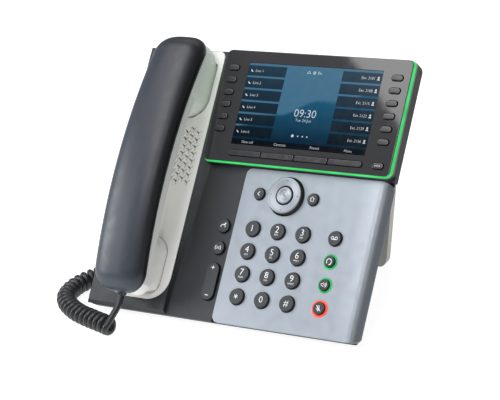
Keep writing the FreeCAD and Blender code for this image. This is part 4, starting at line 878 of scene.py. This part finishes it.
def spline_object(name, points):
    """One smooth open line with these control points."""
    curve = bpy.data.curves.new(name, "CURVE")
    curve.dimensions = "3D"
    spline = curve.splines.new("NURBS")
    spline.points.add(len(points) - 1)
    for point, place in zip(spline.points, points):
        point.co = (place.x, place.y, place.z, 1.0)
    spline.order_u = 3
    spline.use_endpoint_u = True
    curve.resolution_u = 4
    holder = bpy.data.objects.new(name, curve)
    SCENE.collection.objects.link(holder)
    return holder


def line_points(holder):
    """The places along a line object, as Blender evaluates it."""
    bpy.context.view_layer.update()
    graph = bpy.context.evaluated_depsgraph_get()
    mesh = bpy.data.meshes.new_from_object(holder.evaluated_get(graph))
    points = [vertex.co.copy() for vertex in mesh.vertices]
    bpy.data.meshes.remove(mesh)
    return points


def length_of(points):
    return sum((b - a).length for a, b in zip(points, points[1:]))


def at_distance(points, distance):
    """The place and heading at a distance along a line of points."""
    for a, b in zip(points, points[1:]):
        step = (b - a).length
        if distance <= step:
            return a + (b - a) * (distance / step), (b - a).normalized()
        distance -= step
    return points[-1].copy(), (points[-1] - points[-2]).normalized()


def coil_points():
    """Control points of the helix, wound round the coil's own route."""
    route = [on_desk(across, back, COIL_HEIGHT) for across, back in COIL_ROUTE]
    holder = spline_object("coil_axis", route)
    axis = line_points(holder)
    bpy.data.objects.remove(holder)
    length = length_of(axis)
    wound = length - 2 * COIL_INSET
    turns = round(wound / TURN_PITCH)
    reach = TURN_RADIUS / math.cos(math.pi / TURN_POINTS)
    points = []
    steps = turns * TURN_POINTS + LAST_POINTS
    for step in range(steps + 1):
        centre, heading = at_distance(axis, COIL_INSET + step / steps * wound)
        side = Vector((0.0, 0.0, 1.0)).cross(heading).normalized()
        lift = Vector((0.0, 0.0, 1.0))
        angle = math.radians(START_ANGLE) - 2 * math.pi * step / TURN_POINTS
        points.append(centre + (side * math.cos(angle) + lift * math.sin(angle)) * reach)
    return points


def lead_points(helix, centre):
    """From the handset's sleeve down to the coil's first turn."""
    before = helix[0] * 2 - helix[1]
    outward = (on_desk(*COIL_ROUTE[0], 0.0) - on_desk(*COIL_ROUTE[1], 0.0)).normalized()
    beside = before + outward * 0.0022 + Vector((0.0, 0.0, 0.0032))
    lead = [row_point(centre, *GLAND), row_point(centre, 2.6, 19.2), row_point(centre, -2.0, 19.6)]
    return lead + [lead[-1].lerp(beside, 0.45), lead[-1].lerp(beside, 0.8), beside, before]


def tail_points(socket):
    """From the coil's last turn up the body's side and into the socket."""
    return [on_desk(-0.1256, 0.0535, 0.0125), on_desk(-0.1252, 0.0635, 0.0175),
            on_desk(-0.1254, 0.0694, 0.027), on_desk(-0.1244, 0.0704, 0.040),
            Vector((-0.1186, socket.y + 0.0004, 0.0502)), socket]


def cord():
    """The whole cord: straight lead, coil and straight tail, in one line."""
    centre = middle("handset_shell")[0]
    socket = row_point(*SOCKET)
    helix = coil_points()
    holder = spline_object("handset_cord_line",
                           lead_points(helix, centre) + helix + tail_points(socket))
    path = line_points(holder)
    holder.data.bevel_depth = WIRE / 2
    holder.data.bevel_resolution = 3
    holder.data.use_fill_caps = True
    bpy.context.view_layer.update()
    graph = bpy.context.evaluated_depsgraph_get()
    mesh = bpy.data.meshes.new_from_object(holder.evaluated_get(graph))
    bpy.data.objects.remove(holder)
    mesh.name = "handset_cord"
    mesh.materials.append(CORD.material)
    for polygon in mesh.polygons:
        polygon.use_smooth = True
    wire = bpy.data.objects.new("handset_cord", mesh)
    SCENE.collection.objects.link(wire)
    return wire, path, row_point(centre, *GLAND), socket


def boot(gland):
    """The ribbed sleeve where the cord leaves the handset."""
    local = (TO_FACE @ gland) / MM
    shape = Shape()
    profile = [(2.3, 2.4), (3.3, 2.4), (3.5, 2.0), (3.5, 0.4), (3.0, 0.0), (2.9, -0.8), (2.5, -1.1),
               (2.3, -1.2)]
    rings = []
    for radius, along in profile:
        ring = []
        for step in range(32):
            angle = 2 * math.pi * step / 32
            ring.append((local.x + radius * math.cos(angle), local.y + along,
                         local.z + radius * math.sin(angle)))
        rings.append(ring)
    rings.append(rings[0])
    shape.stack(rings, closed=False)
    return shape.make("handset_boot", CORD, "handset", "cord_black")


def side_plug(socket):
    """The modular plug in the side socket."""
    local = (TO_FACE @ socket) / MM
    shape = Shape()
    shape.stack([[(x, local.y + y, local.z + z) for y, z in
                  rounded(-half, half, -half * 0.8, half * 0.8, 0.8)]
                 for x, half in ((local.x - 6.5, 2.6), (local.x - 5.5, 3.1), (local.x - 1.0, 3.4),
                                 (local.x - 0.6, 3.6), (local.x + 4.0, 3.6))])
    return shape.make("cord_plug", BLACK, "housing", "cord_black", smooth=False)


def make_cord():
    wire, path, gland, socket = cord()
    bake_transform(wire)
    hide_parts("cord_coil", "cord_lead", "cord_tail")
    boot(gland)
    side_plug(socket)


# ------------------------------------------------------------------ other small parts


GRILLE_PITCH = 5.4
GRILLE_COLUMN = 4.8
GRILLE_REACH = 4
GRILLE_ROWS = 8
GRILLE_LOW = 99.0
MARK_LEVEL = 2.78
MARK_START = (1.33, -0.85)
MARK_ARMS = ((2.0, 2.1), (-0.3, -2.5))


def grille():
    """Two fine grey marks at the end of each loudspeaker slot, which make it a three-armed star; their grey is
    painted shade of shallow grooves.
    """
    centre = middle("handset_shell")[0]
    arms = Shape()
    for column in range(-GRILLE_REACH, GRILLE_REACH + 1):
        across = centre + column * GRILLE_COLUMN + MARK_START[0]
        stagger = GRILLE_PITCH / 2 * (column % 2)
        for row in range(GRILLE_ROWS):
            up = GRILLE_LOW + row * GRILLE_PITCH + stagger + MARK_START[1]
            for reach in MARK_ARMS:
                ends = [(across, up), (across + reach[0], up + reach[1])]
                arms.curve([(ends, False)], 0.5, MARK_LEVEL)
    arms.make("grille_arms", ARMS, "housing", "light_plastic")


WIDE_SOCKET = 0.01


def socket_contacts():
    """Gilt contact wires in the sockets on the underside: eight in a wide one, four in a narrow."""
    shape = Shape()
    for opening in RECORD["physics"]["openings"]:
        if "socket" not in opening["name"]:
            continue
        low, high = [Vector(corner) for corner in opening["box_m"]]
        width = high.x - low.x
        count = 8 if width > WIDE_SOCKET else 4
        centre = (TO_FACE @ ((low + high) / 2)) / MM
        for pin in range(count):
            across = (low.x + width * (pin + 1) / (count + 1)) / MM
            shape.curve([([(across, centre.y + 3.2), (across, centre.y - 1.6)], False)], 0.45,
                        centre.z + 2.4, 0.4)
    return shape.make("socket_contacts", GOLD, "housing", "screw_steel")


# ------------------------------------------------------------------ camera, floor and light


def aim(holder, position, right, up, back):
    """Place an object by its own three axes."""
    holder.matrix_world = Matrix((
        (right[0], up[0], back[0], position[0]), (right[1], up[1], back[1], position[1]),
        (right[2], up[2], back[2], position[2]), (0.0, 0.0, 0.0, 1.0)))


def camera():
    data = bpy.data.cameras.new("camera")
    data.lens = 132.8
    data.sensor_width = 36.0
    data.shift_y = -0.002
    data.clip_start = 0.05
    data.clip_end = 50.0
    holder = bpy.data.objects.new("camera", data)
    SCENE.collection.objects.link(holder)
    aim(holder, (0.7085, -0.9916, 0.6112), (0.8396, 0.5194, -0.1591), (-0.0931, 0.4262, 0.8998),
        (0.5352, -0.7407, 0.4062))
    SCENE.camera = holder


def area_light(name, width, height, power):
    data = bpy.data.lights.new(name, "AREA")
    data.shape = "RECTANGLE"
    data.size = width
    data.size_y = height
    data.energy = power
    holder = bpy.data.objects.new(name, data)
    SCENE.collection.objects.link(holder)
    return holder


def softbox(name, place, target, width, height, power):
    """A rectangular light at a place, turned to a target."""
    holder = area_light(name, width, height, power)
    holder.location = place
    direction = Vector(target) - Vector(place)
    holder.rotation_euler = direction.to_track_quat("-Z", "Y").to_euler()


FLOOR_HALF = 6.0
FLOOR_LEVEL = -0.0002


def floor():
    """A plain floor that glows white, so that it stays white far out."""
    finish = plastic("floor_finish", "#a0a0a0", 0.7, mottle=0.004, grain=0.0)
    finish.shader.inputs["Emission Color"].default_value = (1.0, 1.0, 1.0, 1.0)
    finish.shader.inputs["Emission Strength"].default_value = 0.9
    mesh = bpy.data.meshes.new("floor")
    corners = [(x * FLOOR_HALF, y * FLOOR_HALF, FLOOR_LEVEL)
               for x, y in ((-1, -1), (1, -1), (1, 1), (-1, 1))]
    mesh.from_pydata(corners, [], [(0, 1, 2, 3)])
    mesh.materials.append(finish.material)
    plane = bpy.data.objects.new("floor", mesh)
    SCENE.collection.objects.link(plane)


def mirror_ray(across, up, level):
    """Where a point of the face sees its reflection: the point and the ray's direction."""
    point = row_point(across, up, level)
    to_camera = (SCENE.camera.matrix_world.translation - point).normalized()
    return point, 2 * to_camera.dot(OUT) * OUT - to_camera


MIRROR_AWAY = 1.25
MIRROR_WIDE = 1.3
MIRROR_DEEP = 0.55
SHINE_ACROSS = 52.0
SHINE_DOWN = 48.0


def mirror_box():
    """A softbox placed so that its edge shows as a slanting line on the glossy bezel."""
    right, top, level = face_box("display_bezel")[1]
    point, ray = mirror_ray(right, top, level)
    away = point + ray * MIRROR_AWAY
    normal = -ray
    hits = []
    for across, up in ((right - SHINE_ACROSS, top), (right, top - SHINE_DOWN)):
        start, direction = mirror_ray(across, up, level)
        reach = (away - start).dot(normal) / direction.dot(normal)
        hits.append(start + direction * reach)
    edge = (hits[1] - hits[0]).normalized()
    aside = normal.cross(edge).normalized()
    if (away - hits[0]).dot(aside) < 0:
        aside = -aside
    centre = (hits[0] + hits[1]) / 2 + aside * MIRROR_DEEP / 2
    holder = area_light("mirror_box", MIRROR_WIDE, MIRROR_DEEP, 12.0)
    aim(holder, centre, edge, ray.cross(edge), ray)


def lights():
    """A dim cool sky, and four softboxes."""
    world = bpy.data.worlds.new("studio")
    SCENE.world = world
    world.use_nodes = True
    background = world.node_tree.nodes["Background"]
    background.inputs["Color"].default_value = (0.92, 0.95, 1.0, 1.0)
    background.inputs["Strength"].default_value = 0.3
    mirror_box()
    softbox("left_box", (-1.3, -0.75, 0.72), (-0.05, -0.02, 0.08), 0.6, 0.6, 13.0)
    softbox("top_box", (0.55, -0.85, 1.35), (0.05, 0, 0.05), 0.35, 0.5, 3.0)
    softbox("back_box", (-0.3, 0.9, 1.3), (0, 0, 0.08), 1.2, 0.8, 4.0)


handset_top()
dial_legends()
icons()
for node in LINE_KEYS + ["more_key"]:
    line_key(node)
lit_ring("headset_key", 4.35, 5.42, GREEN)
lit_ring("speaker_key", 4.35, 5.42, GREEN)
lit_ring("mute_key", 4.85, 6.1, RED)
knob()
select_key()
screen_layers()
make_cord()
grille()
socket_contacts()
camera()
floor()
lights()
SCENE.view_settings.view_transform = "Standard"
bpy.context.view_layer.update()
